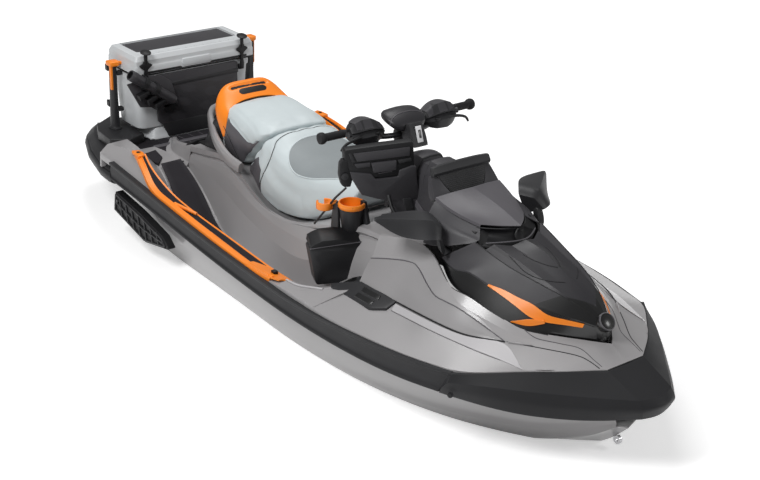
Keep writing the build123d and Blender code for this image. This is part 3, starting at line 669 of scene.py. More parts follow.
HULL_STATIONS = (.352, .55, .9, 1.3, 1.7, 2.05, 2.3, 2.5, 2.7, 2.85, 2.97, 3.08, 3.18, 3.28, 3.37, 3.45,
                 3.52)
KEEL = [(.352, 0, .003), (2.3, 0, .003), (2.62, 0, .004), (2.9, 0, .032), (3.1, 0, .092), (3.3, 0, .182),
        (3.47, 0, .305), (3.56, 0, .42)]
STRAKE = [(.352, .425, .166), (1.6, .425, .16), (2.25, .42, .15), (2.6, .392, .17), (2.9, .312, .182),
          (3.1, .237, .212), (3.3, .137, .257), (3.47, .062, .34), (3.56, .02, .43)]
CHINE = [(.352, .5, .33), (.7, .519, .335), (1.2, .522, .324), (1.6, .522, .296), (2.0, .519, .256),
         (2.25, .513, .259), (2.6, .481, .271), (2.9, .406, .287), (3.1, .318, .302), (3.3, .205, .322),
         (3.47, .099, .382), (3.57, .04, .45)]
WAIST = [(.352, .528, .43), (.7, .556, .435), (1.2, .571, .425), (1.6, .571, .4), (2.0, .568, .37),
         (2.25, .562, .37), (2.6, .541, .378), (2.9, .474, .386), (3.1, .392, .395), (3.3, .273, .4),
         (3.47, .15, .43), (3.58, .06, .465)]
BOND = [(.352, .54, .53), (.7, .575, .53), (.9, .589, .53), (1.2, .597, .51), (1.6, .6, .49),
        (2.0, .6, .47), (2.25, .594, .465), (2.6, .585, .467), (2.9, .531, .472), (3.1, .465, .48),
        (3.3, .349, .484), (3.47, .205, .486), (3.6, .08, .49)]


# How far the hull is drawn in behind the sponsons, where that begins, and over what length.
TUCK, TUCK_START, TUCK_RUN = .32, .74, .39
TRANSOM_SHARE = .68


def tucked(line):
    """The same line, drawn in toward the centre behind the sponsons."""
    keys = [along(line, station) for station in HULL_STATIONS]
    return [(p.x, p.y * (1 - TUCK * min(1, max(0, (TUCK_START - p.x) / TUCK_RUN))), p.z) for p in keys]


def build_hull():
    """The outer skin from the keel to the bond line, with a strake, a soft chine and a side channel."""
    lines = (KEEL, STRAKE, offset(STRAKE, .03, .008), CHINE, offset(CHINE, .014, .03), WAIST, BOND)
    panel = skin("hull_skin", [tucked(line) for line in lines], HULL_STATIONS, GELCOAT,
                 [1, .9, .9, 1, .9, .2, 1], out=(0, 1, -1), wall=.005)
    edge = ((0, .004), (.425, .167), (.455, .175), (.5, .331), (.528, .43), (.538, .53))
    half = [(y * TRANSOM_SHARE, h) for y, h in edge]
    prism("hull_transom", whole(half, 0), .347, .356, GELCOAT, axis="station", bevel=.002)
    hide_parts("hull")


RAIL_TOP = [(.7, .6265, .64), (.95, .6265, .618), (1.2, .6265, .591), (1.6, .6265, .556),
            (2.0, .6265, .537), (2.3, .625, .531), (2.5, .617, .545), (2.67, .603, .55), (2.87, .569, .556),
            (3.01, .531, .561), (3.09, .507, .565)]
RAIL_LOW = [(.7, .6265, .555), (.95, .6265, .537), (1.2, .6265, .517), (1.6, .6265, .482),
            (2.0, .6265, .459), (2.3, .625, .452), (2.5, .614, .452), (2.67, .598, .452),
            (2.87, .562, .455), (3.04, .52, .464)]


def build_rails():
    """The side rails: a broad rubber strip with a rolled top lip, a flat face and a lower lip."""
    lines = [offset(RAIL_TOP, -.032, .001), RAIL_TOP, offset(RAIL_TOP, -.002, -.012),
             offset(RAIL_TOP, -.007, -.018), offset(RAIL_LOW, -.007, .016), offset(RAIL_LOW, -.001, .009),
             RAIL_LOW, offset(RAIL_LOW, -.03, .002)]
    stations = (.7, .95, 1.2, 1.45, 1.7, 2.0, 2.2, 2.4, 2.6, 2.75, 2.87, 2.94, 3.0, 3.04, 3.09)
    rail = skin("rubber_rails", lines, stations, RUBBER, [.9] + [.8] * 6 + [.9], closed=True)
    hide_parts("side_rails")


# The bumper's sections from its aft end to the centreline: top edge, crease, nose line, foot.
BUMPER_SECTIONS = [((3.097, .515, .566), (3.1, .528, .533), (3.07, .532, .5), (3.05, .524, .466)),
                   ((3.17, .45, .577), (3.199, .462, .547), (3.21, .468, .508), (3.195, .46, .462)),
                   ((3.275, .335, .598), (3.314, .373, .549), (3.325, .386, .509), (3.325, .388, .461)),
                   ((3.372, .234, .61), (3.419, .275, .551), (3.435, .291, .511), (3.435, .292, .461)),
                   ((3.43, .155, .6155), (3.53, .177, .556), (3.552, .188, .517), (3.53, .19, .465)),
                   ((3.474, .094, .618), (3.625, .086, .562), (3.652, .086, .53), (3.635, .07, .484)),
                   ((3.475, 0, .619), (3.66, 0, .566), (3.692, 0, .548), (3.655, 0, .482))]


def build_bumper():
    """The bow bumper: a slanted skirt over a darker band, its front panel between two creases."""
    loops = []
    for side, sections in ((1, BUMPER_SECTIONS), (-1, list(reversed(BUMPER_SECTIONS[:-1])))):
        for top, crease, nose, foot in sections:
            skirt = tuple((a + b) / 2 for a, b in zip(top, crease))
            inside_top = (top[0] - .02, top[1] * .96, top[2] - .006)
            inside_foot = (foot[0] - .03, foot[1] * .94, foot[2] + .004)
            ring = (top, skirt, crease, nose, foot, inside_foot, inside_top)
            loops.append([(p[0], side * p[1], p[2]) for p in ring])
    bumper = rings("bumper", loops, RUBBER, [.9, 0, 1, .35, .9, .8, .8], ends=1, cross={5: 1, 7: 1},
                   level=3)
    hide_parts("bow_bumper")
    lathe("bumper_bolts", [(0, .004), (.006, .004), (.0075, .0015), (.011, .001), (.0115, -.004)],
          (3.115, .5265, .488), TRIM, axis=(.55, .8, .1), steps=18, mirror=True)


# ---------------------------------------------------------------- foredeck

DECK_EDGE = [(2.18, .604, .548), (2.5, .603, .553), (2.67, .588, .556), (2.87, .555, .56),
             (3.01, .518, .565), (3.097, .492, .572), (3.17, .44, .581), (3.275, .331, .601),
             (3.372, .23, .612), (3.43, .151, .618), (3.472, .092, .6205)]
BAND_LOW = [(2.18, .562, .562), (2.33, .535, .6), (2.587, .495, .604), (2.66, .447, .619),
            (2.87, .423, .616), (3.07, .389, .615), (3.186, .354, .611), (3.278, .327, .603),
            (3.372, .229, .6125), (3.43, .15, .6185), (3.472, .091, .6207)]
BAND_NOSE = [(3.212, .234, .651), (3.309, .176, .645), (3.363, .134, .642), (3.413, .118, .633),
             (3.472, .09, .6208)]
BAND_TOP = [(2.452, .456, .648), (2.56, .44, .653), (2.66, .424, .643), (2.86, .401, .638),
            (2.986, .375, .636), (3.06, .343, .641), (3.14, .292, .648)] + BAND_NOSE
SEAM = [(2.455, .452, .654), (2.56, .436, .658), (2.66, .42, .648), (2.86, .397, .642), (2.986, .371, .639),
        (3.06, .34, .643), (3.14, .292, .648)] + BAND_NOSE
FLANK = [(2.435, .41, .69), (2.5, .405, .697), (2.65, .382, .7), (2.8, .372, .674), (2.95, .352, .662),
         (3.05, .325, .651), (3.14, .292, .648)] + BAND_NOSE
LEAF = [(2.417, .363, .728), (2.5, .343, .752), (2.6, .32, .774), (2.65, .314, .767), (2.737, .333, .728),
        (2.792, .341, .708), (2.843, .334, .704), (2.911, .324, .699), (3.014, .306, .676),
        (3.14, .292, .648)] + BAND_NOSE
RIDGE = [(2.407, .316, .812), (2.5, .292, .832), (2.6, .265, .842), (2.675, .263, .822),
         (2.718, .274, .798), (2.797, .294, .759), (2.852, .309, .731), (2.905, .317, .71),
         (2.931, .309, .705), (3.029, .285, .687), (3.106, .263, .673), (3.167, .241, .662),
         (3.226, .198, .661), (3.282, .15, .661), (3.339, .105, .658), (3.4, .1, .641), (3.472, .088, .621)]
STRIP = [(2.405, .3, .816), (2.5, .285, .83), (2.6, .26, .838), (2.675, .258, .82), (2.797, .29, .757),
         (2.84, .299, .746), (2.918, .28, .743), (3.002, .263, .717), (3.079, .242, .7),
         (3.142, .223, .683), (3.206, .181, .679), (3.263, .134, .676), (3.328, .07, .671),
         (3.384, .02, .667), (3.4, 0, .666), (3.475, 0, .623)]


NOSE_KEYS = len(BAND_NOSE) + 1


def build_foredeck():
    """The grey foredeck: rail facet, a band lit by painted highlight, black seam, a leaf-shaped flank in
    painted shade, ridge and nose facets.
    """
    step = offset(LEAF[:-NOSE_KEYS], -.009, .01) + LEAF[-NOSE_KEYS:]
    stations = (2.3, 2.38, 2.46, 2.52, 2.58, 2.65, 2.7, 2.75, 2.8, 2.85, 2.905, 2.96, 3.01, 3.06, 3.1, 3.14,
                3.18, 3.23, 3.28, 3.33, 3.37, 3.4, 3.44, 3.475)
    seam_floor = offset(SEAM[:-NOSE_KEYS], .002, -.011) + SEAM[-NOSE_KEYS:]
    panel = skin("foredeck_skin", [offset(DECK_EDGE, .004, -.03), DECK_EDGE, BAND_LOW, BAND_TOP, seam_floor,
                                   SEAM, FLANK, LEAF, step, RIDGE, STRIP], stations, DECKCOAT,
                 [1, 1, 1, 1, 1, 1, .6, 1, 1, 1, 1], wall=.005, smooth=9)
    # The flank between the leaf line and the seam gets the darker gelcoat copy: painted shade.
    dressed(panel, SHADED_GELCOAT, LEAF, SEAM, 2.3, 3.14)
    fold = [(3.16, .213, .681), (3.21, .201, .666), (3.281, .152, .661), (3.345, .109, .655),
            (3.413, .104, .636), (3.467, .099, .617)]
    nose = [(3.144, .288, .649), (3.258, .21, .647), (3.359, .139, .642), (3.406, .121, .634),
            (3.451, .113, .622)]
    # The seam line is the black joint; the leaf, line, ridge and nose lines are painted shade along the
    # creases between facets.
    marks = (("seam", SEAM[:7], .0032, TRIM), ("leaf", LEAF[:10], .0024, SLATE),
             ("line", BAND_LOW[3:7], .0012, SLATE), ("ridge", fold, .0016, SLATE),
             ("nose", nose, .0018, TRIM))
    for name, keys, radius, surface in marks:
        dark_line("foredeck_" + name, panel, keys, radius, surface)
    aft = [(.26, .4), (.26, .8), (.3, .815), (.355, .72), (.4, .685), (.44, .64), (.485, .6), (.56, .565),
           (.58, .5), (.55, .4)]
    prism("foredeck_bulkhead", aft, 2.462, 2.468, SATIN, axis="station", mirror=True, bevel=.001)
    # A strip of the lighter gelcoat laid over the band: painted highlight.
    low = offset([key for key in BAND_LOW if 2.6 < key[0] < 3.28], -.001, .0025)
    top = [(s, y + .004, h + .0005) for s, y, h in BAND_TOP if 2.6 < s < 3.15] + [(3.262, .325, .6105)]
    skin("foredeck_band", [low, top], 12, LIT_GELCOAT, 1, wall=.002)
    # A dark wall down into the gap between the foredeck and the hood: painted shade in the gap.
    wall_keys = [key for key in STRIP if key[0] < 3.39]
    skin("hood_gap_wall", [wall_keys, offset(wall_keys, -.016, -.02), offset(wall_keys, -.03, -.075)],
         stations[:18], TRIM, [.8, .3, 0], wall=.003)
    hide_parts("foredeck")


# ---------------------------------------------------------------- front hood

HOOD_LOW = [(2.7, .236, .79), (2.8, .272, .742), (2.9, .262, .722), (3.002, .246, .702),
            (3.079, .226, .687), (3.142, .206, .673), (3.206, .166, .668), (3.263, .12, .665),
            (3.328, .058, .661), (3.372, .012, .66)]
HOOD_SIDE = [(2.705, .24, .812), (2.8, .25, .796), (2.845, .236, .811), (2.945, .213, .785),
             (3.083, .175, .764), (3.197, .129, .752), (3.28, .085, .741), (3.345, .04, .728),
             (3.375, .012, .716)]
HOOD_RIDGE = [(2.815, .172, .899), (2.973, .15, .857), (3.12, .116, .829), (3.24, .076, .799),
              (3.31, .045, .768), (3.372, .01, .728)]
WEDGE = [(2.84, .14, .868), (2.973, .126, .838), (3.1, .108, .82), (3.24, .072, .798), (3.31, .041, .769),
         (3.371, .008, .729)]
HOOD_FACET = [(2.862, .116, .892), (2.99, .1, .864), (3.107, .09, .836), (3.24, .068, .799),
              (3.31, .038, .77), (3.371, .006, .73)]
HOOD_MID = [(2.9, .058, .886), (2.99, .05, .872), (3.1, .045, .845), (3.24, .034, .806), (3.31, .02, .776),
            (3.371, .003, .732)]
HOOD_CENTRE = [(2.912, 0, .902), (2.976, 0, .899), (3.08, 0, .868), (3.161, 0, .838), (3.26, 0, .8),
               (3.32, 0, .77), (3.372, 0, .733)]


def build_front_hood():
    """The folding front hood: a raised centre between two wedges, creased flanks and a round nose cap."""
    shell = skin("hood_shell", [HOOD_LOW, HOOD_SIDE, HOOD_RIDGE, WEDGE, HOOD_FACET, HOOD_MID, HOOD_CENTRE],
                 14, CHARCOAL, [1, 1, 1, 1, 1, .6, 1], body="front_hood", smooth=9)
    painted(shell, INKY, ((3.12, .092, 0), (2.86, .125, 0)))
    painted(shell, GLOSS, ((3.131, .158, 0), (3.303, 0, 0)))
    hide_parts("hood")
    skin("hood_flank", [offset(HOOD_LOW, -.01, -.012), offset(HOOD_LOW, .002, .001),
                        offset(HOOD_SIDE, .004, -.004)], 14, GLOSS, [1, .9, .9], out=(0, 1, 0),
         body="front_hood", wall=.003)
    arm_top = [(2.952, .211, .785), (3.017, .19, .781), (3.081, .173, .769), (3.14, .152, .76),
               (3.195, .141, .738), (3.259, .104, .733), (3.317, .063, .728)]
    arm_low = [(2.952, .211, .783), (3.034, .197, .762), (3.113, .182, .736), (3.15, .17, .718),
               (3.204, .142, .714), (3.26, .103, .716), (3.315, .063, .716)]
    prong_top = [(3.093, .216, .692), (3.125, .198, .706), (3.15, .182, .716), (3.2, .15, .722)]
    prong_low = [(3.093, .216, .69), (3.13, .199, .69), (3.162, .181, .692), (3.204, .148, .711)]
    for name, top, low, steps in (("accent", offset(arm_top, .006, .003), offset(arm_low, .012, .001), 12),
                                  ("prong", offset(prong_top, .01, 0), offset(prong_low, .01, 0), 6)):
        skin("hood_" + name, [top, low], steps, ORANGE, .8, out=(0, 1, .4), body="front_hood", wall=.006)
    # Dark lines along the creases of the hood's raised centre and its side ridge: painted shade where the
    # facets meet.
    for index, keys in enumerate(([(2.801, .174, .895), (2.844, .093, .88), (2.939, .108, .872),
                                   (3.031, .108, .841), (3.112, .089, .835), (3.167, .03, .829)],
                                  [(2.844, .093, .88), (2.89, .052, .88), (2.976, .059, .874),
                                   (3.057, .033, .862), (3.1, .006, .86)], HOOD_RIDGE[:4])):
        dark_line("hood_crease_%d" % index, shell, keys, .0018, TRIM, "front_hood")
    disc, ahead = (3.36, 0, .738), (.74, 0, .67)
    lathe("nose_cap", [(0, .01), (.026, .01), (.029, .008), (.03, .004), (.0335, .007), (.0355, .004),
                       (.0365, -.014), (.034, -.07)], disc, GLOSS, axis=ahead, body="front_hood")
    lathe("nose_chin", [(0, -.066), (.03, -.066), (.039, -.052), (.041, 0), (.032, .02), (0, .02)],
          (3.334, 0, .722), GLOSS, body="front_hood")
    lathe("nose_ring", [(.0305, .005), (.0315, .0095), (.0345, .0095), (.036, .005)], disc, SLATE,
          axis=ahead, body="front_hood")


def build_centre_panel():
    """The shield ahead of the gauge visor, its cheeks, and the deep black slot in front of it, its hollow
    filled with dark blocks as painted shade.
    """
    centre = [(2.592, 0, 1.012), (2.68, 0, 1.0), (2.78, 0, .98), (2.881, 0, .95)]
    quarter = [(2.584, .085, 1.01), (2.66, .084, .994), (2.75, .078, .972), (2.838, .06, .947)]
    edge = [(2.568, .168, .998), (2.63, .16, .978), (2.7, .142, .96), (2.775, .112, .943)]
    lip = offset(edge, .004, -.01)
    cheek = [(2.575, .212, .935), (2.66, .206, .925), (2.74, .19, .915), (2.82, .155, .905)]
    hem = [(2.61, .258, .842), (2.66, .252, .846), (2.73, .222, .866), (2.805, .176, .892)]
    skin("centre_panel", [lip, edge, quarter, centre], 8, SLATE, [1, 1, 0, 1], wall=.005, body="front_hood")
    skin("centre_cheeks", [hem, cheek, offset(edge, .002, -.012)], 8, CHARCOAL, [1, .85, 1], out=(0, 1, .5),
         body="front_hood")
    slot_top = [(2.765, .128, .93), (2.82, .085, .934), (2.868, .03, .938), (2.872, 0, .938)]
    slot_low = [(2.8, .165, .88), (2.84, .118, .874), (2.885, .05, .872), (2.9, 0, .872)]
    skin("panel_slot", [slot_low, offset(slot_top, -.03, -.03), slot_top], 6, TRIM, 0, out=(1, 0, 0),
         body="front_hood")
    # Dark blocks filling the hollow behind the slot: painted shade.
    prism("slot_core", [(2.66, .78), (2.66, .935), (2.785, .922), (2.825, .87), (2.825, .78)], -.15, .15,
          TRIM, body="front_hood")
    prism("slot_cheek", [(2.7, .84), (2.7, .925), (2.775, .912), (2.805, .88), (2.805, .84)], .145, .172,
          TRIM, mirror=True, body="front_hood")
    tube("slot_bar", [(2.83, -.13, .888), (2.885, -.06, .897), (2.905, 0, .899), (2.885, .06, .897),
                      (2.83, .13, .888)], .0028, SLATE, body="front_hood")


def build_visor():
    """The gauge visor: a thick top bar over a ribbed mesh, between two faceted cheeks."""
    half = [((2.5, 0, 1.103), (2.516, 0, 1.104), (2.534, 0, 1.08), (2.53, 0, 1.066), (2.505, 0, 1.068)),
            ((2.5, .1, 1.102), (2.516, .1, 1.103), (2.533, .1, 1.079), (2.529, .1, 1.065),
             (2.505, .1, 1.067)),
            ((2.503, .15, 1.098), (2.517, .15, 1.098), (2.53, .15, 1.076), (2.526, .15, 1.063),
             (2.505, .15, 1.066))]
    loops = [[(p[0], -p[1], p[2]) for p in ring] for ring in reversed(half[1:])] + half
    bar = rings("visor_bar", loops, SATIN, .8, body="front_hood")
    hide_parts("gauge_visor")
    bm = bmesh.new()
    rows = [[at(station, reach * (2 * step / 6 - 1), height) for step in range(7)]
            for reach, station, height in ((.124, 2.524, 1.066), (.108, 2.546, 1.03), (.08, 2.566, .994))]
    grid(bm, rows, .5, ends=1)
    outward(bm, (1, 0, 1))
    settle("visor_mesh", bm, TRIM, "front_hood", level=1, wall=.004)
    for index in range(11):
        drop = index / 10
        reach = .12 - .04 * drop
        station = 2.527 + .042 * drop
        height = 1.06 - .064 * drop
        tube("visor_rib_%d" % index, [(station, -reach, height), (station, reach, height)], .0016, SATIN,
             body="front_hood", order=2)
    rings("visor_cheeks", [[(2.512, .126, 1.068), (2.512, .15, 1.066), (2.5, .152, 1.06),
                            (2.502, .128, 1.06)],
                           [(2.548, .11, 1.03), (2.54, .166, 1.022), (2.515, .17, 1.01),
                            (2.52, .112, 1.02)],
                           [(2.572, .082, .992), (2.566, .172, .99), (2.545, .178, .975),
                            (2.55, .084, .98)],
                           [(2.59, .07, .985), (2.58, .17, .982), (2.56, .176, .968), (2.565, .072, .972)]],
          CHARCOAL, .8, mirror=True, body="front_hood", level=2)
    skin("visor_foot", [[(2.565, .178, .988), (2.585, .1, .996), (2.59, 0, 1.0)],
                        [(2.548, .178, .975), (2.56, .1, .985), (2.566, 0, .985)]], 4, SATIN, .5,
         body="front_hood")


def build_mirrors():
    """The two mirror shells on the hood's shoulders, with a rim round the glass."""
    loops = [[(2.545, .45, .969), (2.552, .452, .958), (2.54, .45, .955), (2.533, .447, .966)],
             [(2.585, .405, .97), (2.592, .42, .925), (2.535, .405, .922), (2.518, .392, .96)],
             [(2.622, .362, .971), (2.635, .388, .902), (2.555, .365, .892), (2.515, .34, .958)],
             [(2.668, .305, .971), (2.702, .342, .903), (2.6, .31, .88), (2.555, .282, .968)],
             [(2.69, .27, .968), (2.735, .305, .91), (2.65, .262, .882), (2.605, .236, .976)],
             [(2.7, .244, .945), (2.735, .272, .9), (2.662, .235, .866), (2.632, .216, .946)]]
    shells = rings("mirror_shells", loops, SATIN, [.9, .7, .7, .9], ends=.8, mirror=True, body="front_hood")
    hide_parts("mirrors")
    glass = [[(2.536, .437, .95), (2.543, .44, .944)], [(2.522, .392, .952), (2.538, .404, .928)],
             [(2.52, .345, .95), (2.556, .364, .9)], [(2.56, .287, .96), (2.6, .309, .89)]]
    skin_rows("mirror_glass", glass, BRIGHT, "front_hood", out=(-1, 0, 0), wall=.002)
    rings("mirror_stalks", [[(2.712, .24, .858), (2.738, .24, .842), (2.733, .212, .838),
                             (2.694, .212, .854)],
                            [(2.72, .272, .845), (2.745, .272, .83), (2.74, .256, .822), (2.7, .256, .84)],
                            [(2.705, .275, .89), (2.73, .275, .88), (2.722, .245, .872),
                             (2.69, .245, .886)],
                            [(2.7, .272, .915), (2.716, .272, .905), (2.714, .255, .9), (2.69, .255, .91)]],
          SATIN, .7, mirror=True, body="front_hood")


# ---------------------------------------------------------------- deck, gunwales and seat pedestal

GUN_FOOT = [(.56, .598, .64), (.7, .602, .636), (.95, .602, .612), (1.07, .602, .598), (1.2, .602, .588),
            (1.6, .602, .553), (2.0, .602, .535), (2.18, .604, .545)]
GUN_TOP = [(.56, .556, .676), (.68, .545, .695), (.8, .533, .697), (.9, .56, .672), (.983, .582, .644),
           (1.066, .5995, .606), (1.2, .5995, .594), (1.6, .5995, .558), (2.0, .6, .54), (2.18, .601, .55)]
FOOT_IN = [(.56, .45, .68), (.8, .488, .694), (.9, .51, .67), (1.02, .53, .64), (1.127, .525, .598),
           (1.3, .515, .567), (1.6, .506, .54), (1.92, .514, .52), (2.0, .517, .522), (2.12, .53, .545),
           (2.3, .54, .59)]
WELL_OUT = [(.56, .4, .612), (.78, .415, .606), (.9, .43, .56), (1.05, .46, .47), (1.2, .48, .412),
            (1.4, .488, .4), (1.9, .488, .395), (2.05, .48, .42), (2.15, .475, .48), (2.3, .5, .58)]
PED_FOOT = [(.56, .3, .61), (.8, .272, .608), (.9, .278, .566), (1.02, .29, .515), (1.222, .322, .41),
            (1.31, .34, .4), (1.51, .352, .398), (1.69, .361, .4), (1.95, .39, .422), (2.15, .38, .5),
            (2.3, .36, .6), (2.42, .36, .65), (2.56, .3, .74)]
PED_FACET = [(.8, .27, .614), (.98, .274, .615), (1.16, .279, .585), (1.36, .29, .527), (1.56, .304, .5),
             (1.72, .328, .505), (1.9, .365, .53), (2.1, .37, .59), (2.3, .345, .66), (2.42, .35, .69),
             (2.56, .29, .75)]
PED_PANEL = [(.8, .266, .626), (1.0, .268, .65), (1.16, .269, .655), (1.36, .272, .595), (1.56, .278, .56),
             (1.72, .295, .568), (1.9, .325, .6), (2.1, .34, .655), (2.3, .33, .715), (2.42, .33, .735),
             (2.56, .28, .765)]
GROOVE = [(.8, .261, .64), (1.0, .262, .674), (1.16, .262, .696), (1.33, .26, .632), (1.5, .262, .588),
          (1.56, .264, .589), (1.72, .272, .602), (1.9, .29, .65), (2.1, .308, .705), (2.3, .305, .76),
          (2.42, .31, .78), (2.56, .272, .78)]
PED_RIDGE = [(.8, .256, .686), (.934, .258, .706), (1.192, .26, .744), (1.33, .258, .674),
             (1.516, .258, .592), (1.6, .259, .596), (1.72, .262, .612), (1.9, .276, .668),
             (2.1, .292, .735), (2.3, .295, .8), (2.42, .3, .8), (2.56, .265, .815)]
PED_TOP = [(.8, .205, .69), (1.09, .205, .706), (1.21, .205, .696), (1.33, .205, .65), (1.4, .21, .6),
           (1.52, .222, .577), (1.72, .222, .598), (1.86, .22, .652), (2.0, .2, .72), (2.3, .24, .81),
           (2.42, .24, .81), (2.56, .24, .805)]
DECK_STATIONS = (.56, .66, .76, .84, .92, 1.0, 1.07, 1.14, 1.22, 1.31, 1.4, 1.52, 1.62, 1.72, 1.84, 1.95,
                 2.05, 2.14, 2.22, 2.3, 2.42, 2.56)


def build_deck():
    """The gunwales, the footwells with their ramp to the stern deck, and the faceted seat pedestal."""
    gunwale = skin("deck_skin", [offset(GUN_FOOT, .003, -.03), GUN_FOOT, GUN_TOP, FOOT_IN, WELL_OUT,
                                 PED_FOOT], DECK_STATIONS[:-2], DECKCOAT, [1, .9, 1, 1, .6, .8])
    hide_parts("deck")
    slot_floor = offset(GROOVE, -.012, .006)
    slot_top = [(s, y - .002, min(h + .02, ridge[2] - .014)) for (s, y, h), ridge in zip(GROOVE, PED_RIDGE)]
    under_seat = [(s, 0, h - .012) for s, y, h in PED_TOP]
    pedestal = skin("pedestal_skin", [PED_FOOT, PED_FACET, PED_PANEL, GROOVE, slot_floor, slot_top,
                        PED_RIDGE, PED_TOP, under_seat], DECK_STATIONS[3:], DECKCOAT,
                    [.8, 1, 1, 1, 1, 1, 1, .9, 0], out=(0, 1, .4))
    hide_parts("seat_pedestal")
    skin("pedestal_tail", [[(.48, .17, .604), (.66, .29, .604), (.846, .29, .59)],
                           [(.5, .165, .612), (.66, .262, .616), (.846, .273, .614)],
                           [(.51, .16, .62), (.66, .245, .655), (.846, .258, .693)],
                           [(.52, .15, .62), (.66, .222, .655), (.846, .236, .694)],
                           [(.54, .145, .604), (.66, .215, .604), (.846, .23, .606)]], 6, DECKCOAT,
         [.8, 1, 1, 1, .8], out=(0, 1, 1))
    tip = [(.601, .57), (.599, .64), (.557, .675), (.45, .679), (.4, .611), (.3, .609), (.3, .57)]
    prism("gunwale_ends", tip, .558, .572, DECKCOAT, axis="station", mirror=True, bevel=.001)
    end = [(.3, .606), (.272, .61), (.266, .64), (.256, .69), (.205, .702)]
    prism("pedestal_stern", whole(end, 0), .8, .812, TRIM, axis="station")
    prism("stern_deck", [(.36, .405), (.58, .402), (.8, .3), (.81, -.3), (.58, -.402), (.36, -.405)], .588,
          .6, TRIM, axis="height")


def build_mats():
    """Grooved foam mats: the stern deck, the footwell ramps and the small pads beside them."""
    main = prism("mat_stern", [(.42, .26), (.79, .2), (.79, -.2), (.42, -.26)], .6, .6065, MAT,
                 axis="height", bevel=.002)
    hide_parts("traction_mats")
    for index in range(7):
        side = (index - 3) * .062
        for name, s0, s1 in (("a", .45, .6), ("b", .63, .77)):
            tube("mat_line_%s%d" % (name, index), [(s0, side, .6068), (s1, side * .86, .6068)], .0013,
                 SLATE, order=2)
    ramp = [[(.8, .405, .612), (.92, .43, .562), (1.05, .455, .475), (1.18, .45, .42), (1.33, .375, .405)],
            [(.8, .285, .614), (.92, .29, .568), (1.05, .305, .508), (1.2, .33, .424), (1.33, .35, .406)]]
    skin("mat_ramps", [offset(ramp[0], -.006, .006), offset(ramp[1], .006, .006)], 10, MAT, 1, wall=.005)
    prism("mat_pads", [(.64, .405), (.625, .33), (.725, .35), (.79, .405), (.75, .42)], .604, .62, MAT,
          axis="height", mirror=True)


def build_footrests():
    """The orange footrests along the gunwales, open round their black inlays, with a diagonal rib."""
    outer = [(.8, .541, .706), (.9, .566, .683), (.983, .588, .655), (1.066, .604, .618),
             (1.2, .6045, .604), (1.6, .6045, .568), (1.9, .605, .549), (2.0, .606, .549), (2.04, .6, .552)]
    edge = [(s + .004, y, h) for s, y, h in offset(outer, -.026, .004)]
    inner = [(.82, .52, .706), (.9, .543, .685), (.983, .562, .655), (1.066, .575, .612), (1.2, .572, .596),
             (1.6, .566, .562), (1.9, .572, .546), (2.0, .578, .548), (2.04, .585, .551)]
    bar = skin("footrest_bars", [offset(outer, .002, -.018), outer, edge, inner,
                                 offset(inner, -.002, -.02)], 16, ORANGE, [.9, .9, .5, 1, .9], wall=.006)
    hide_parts("footrests")
    slim = [(.84, .506, .7), (.92, .526, .672), (1.02, .536, .644), (1.127, .53, .602), (1.3, .52, .571),
            (1.6, .511, .545), (1.9, .512, .528), (2.04, .519, .53)]
    skin("footrest_rims", [offset(slim, .004, .002), offset(slim, -.004, .0035), offset(slim, -.008, -.01)],
         16, ORANGE, [1, .8, .8], wall=.004)
    skin("footrest_inlays", [offset(inner, -.001, -.003), offset(slim, .004, .001)], 16, MAT, 1, wall=.012)
    toe = [(1.86, .604, .553), (1.9, .6, .555), (2.0, .6, .556), (2.04, .595, .556), (2.075, .575, .552)]
    toe_in = [(1.86, .56, .55), (1.9, .53, .54), (2.0, .512, .534), (2.08, .512, .534), (2.13, .52, .54)]
    crown = [(out[0], (out[1] + inside[1]) / 2, (out[2] + inside[2]) / 2 + .002)
             for out, inside in zip(toe, toe_in)]
    skin("footrest_toes", [toe, crown, toe_in], 6, ORANGE, [1, .3, 1], wall=.006)
    tube("footrest_ribs", [(1.235, .578, .602), (1.3, .555, .592), (1.345, .53, .578)], .008, ORANGE,
         mirror=True)
    head = [(.775, .542), (.79, .508), (.83, .506), (.86, .52), (.86, .552), (.8, .551)]
    prism("footrest_heads", head, .694, .708, ORANGE, axis="height", mirror=True, bevel=.004)
    # Dark insets for the holes in the footrest heads and the slots in the toes: painted shade in the
    # openings.
    lathe("footrest_holes", [(0, 0), (.0085, 0), (.0105, .0015), (.0105, -.004)], (.818, .528, .7085), TRIM,
          mirror=True, steps=20)
    prism("toe_slots", [(1.985, .535), (2.01, .535), (2.01, .555), (1.985, .555)], .537, .5565, TRIM,
          axis="height", mirror=True, bevel=.001)


# ---------------------------------------------------------------- seats

SEAT_STATIONS = (1.03, 1.06, 1.1, 1.16, 1.22, 1.28, 1.34, 1.39, 1.42, 1.45, 1.475, 1.5, 1.53, 1.57, 1.63,
                 1.7, 1.77, 1.84, 1.9, 1.95, 2.0, 2.04)
SEAT_UNDER = [(1.03, 0, .714), (1.21, 0, .712), (1.33, 0, .665), (1.42, 0, .612), (1.52, 0, .596),
              (1.72, 0, .61), (1.86, 0, .66), (1.95, 0, .72), (2.04, 0, .78)]
SEAT_FOOT = [(1.03, .21, .714), (1.21, .212, .706), (1.33, .218, .66), (1.4, .226, .618), (1.52, .232, .59),
             (1.66, .234, .602), (1.83, .226, .645), (1.95, .205, .715), (2.04, .185, .77)]
SEAT_SIDE = [(1.03, .206, .8), (1.1, .214, .81), (1.34, .226, .79), (1.45, .236, .745), (1.6, .243, .715),
             (1.8, .236, .735), (1.95, .208, .79), (2.04, .18, .82)]
SEAT_EDGE = [(1.03, .196, .905), (1.1, .202, .913), (1.25, .209, .895), (1.4, .21, .875), (1.47, .216, .86),
             (1.56, .224, .832), (1.71, .224, .815), (1.82, .21, .825), (1.92, .185, .845),
             (2.04, .14, .845)]
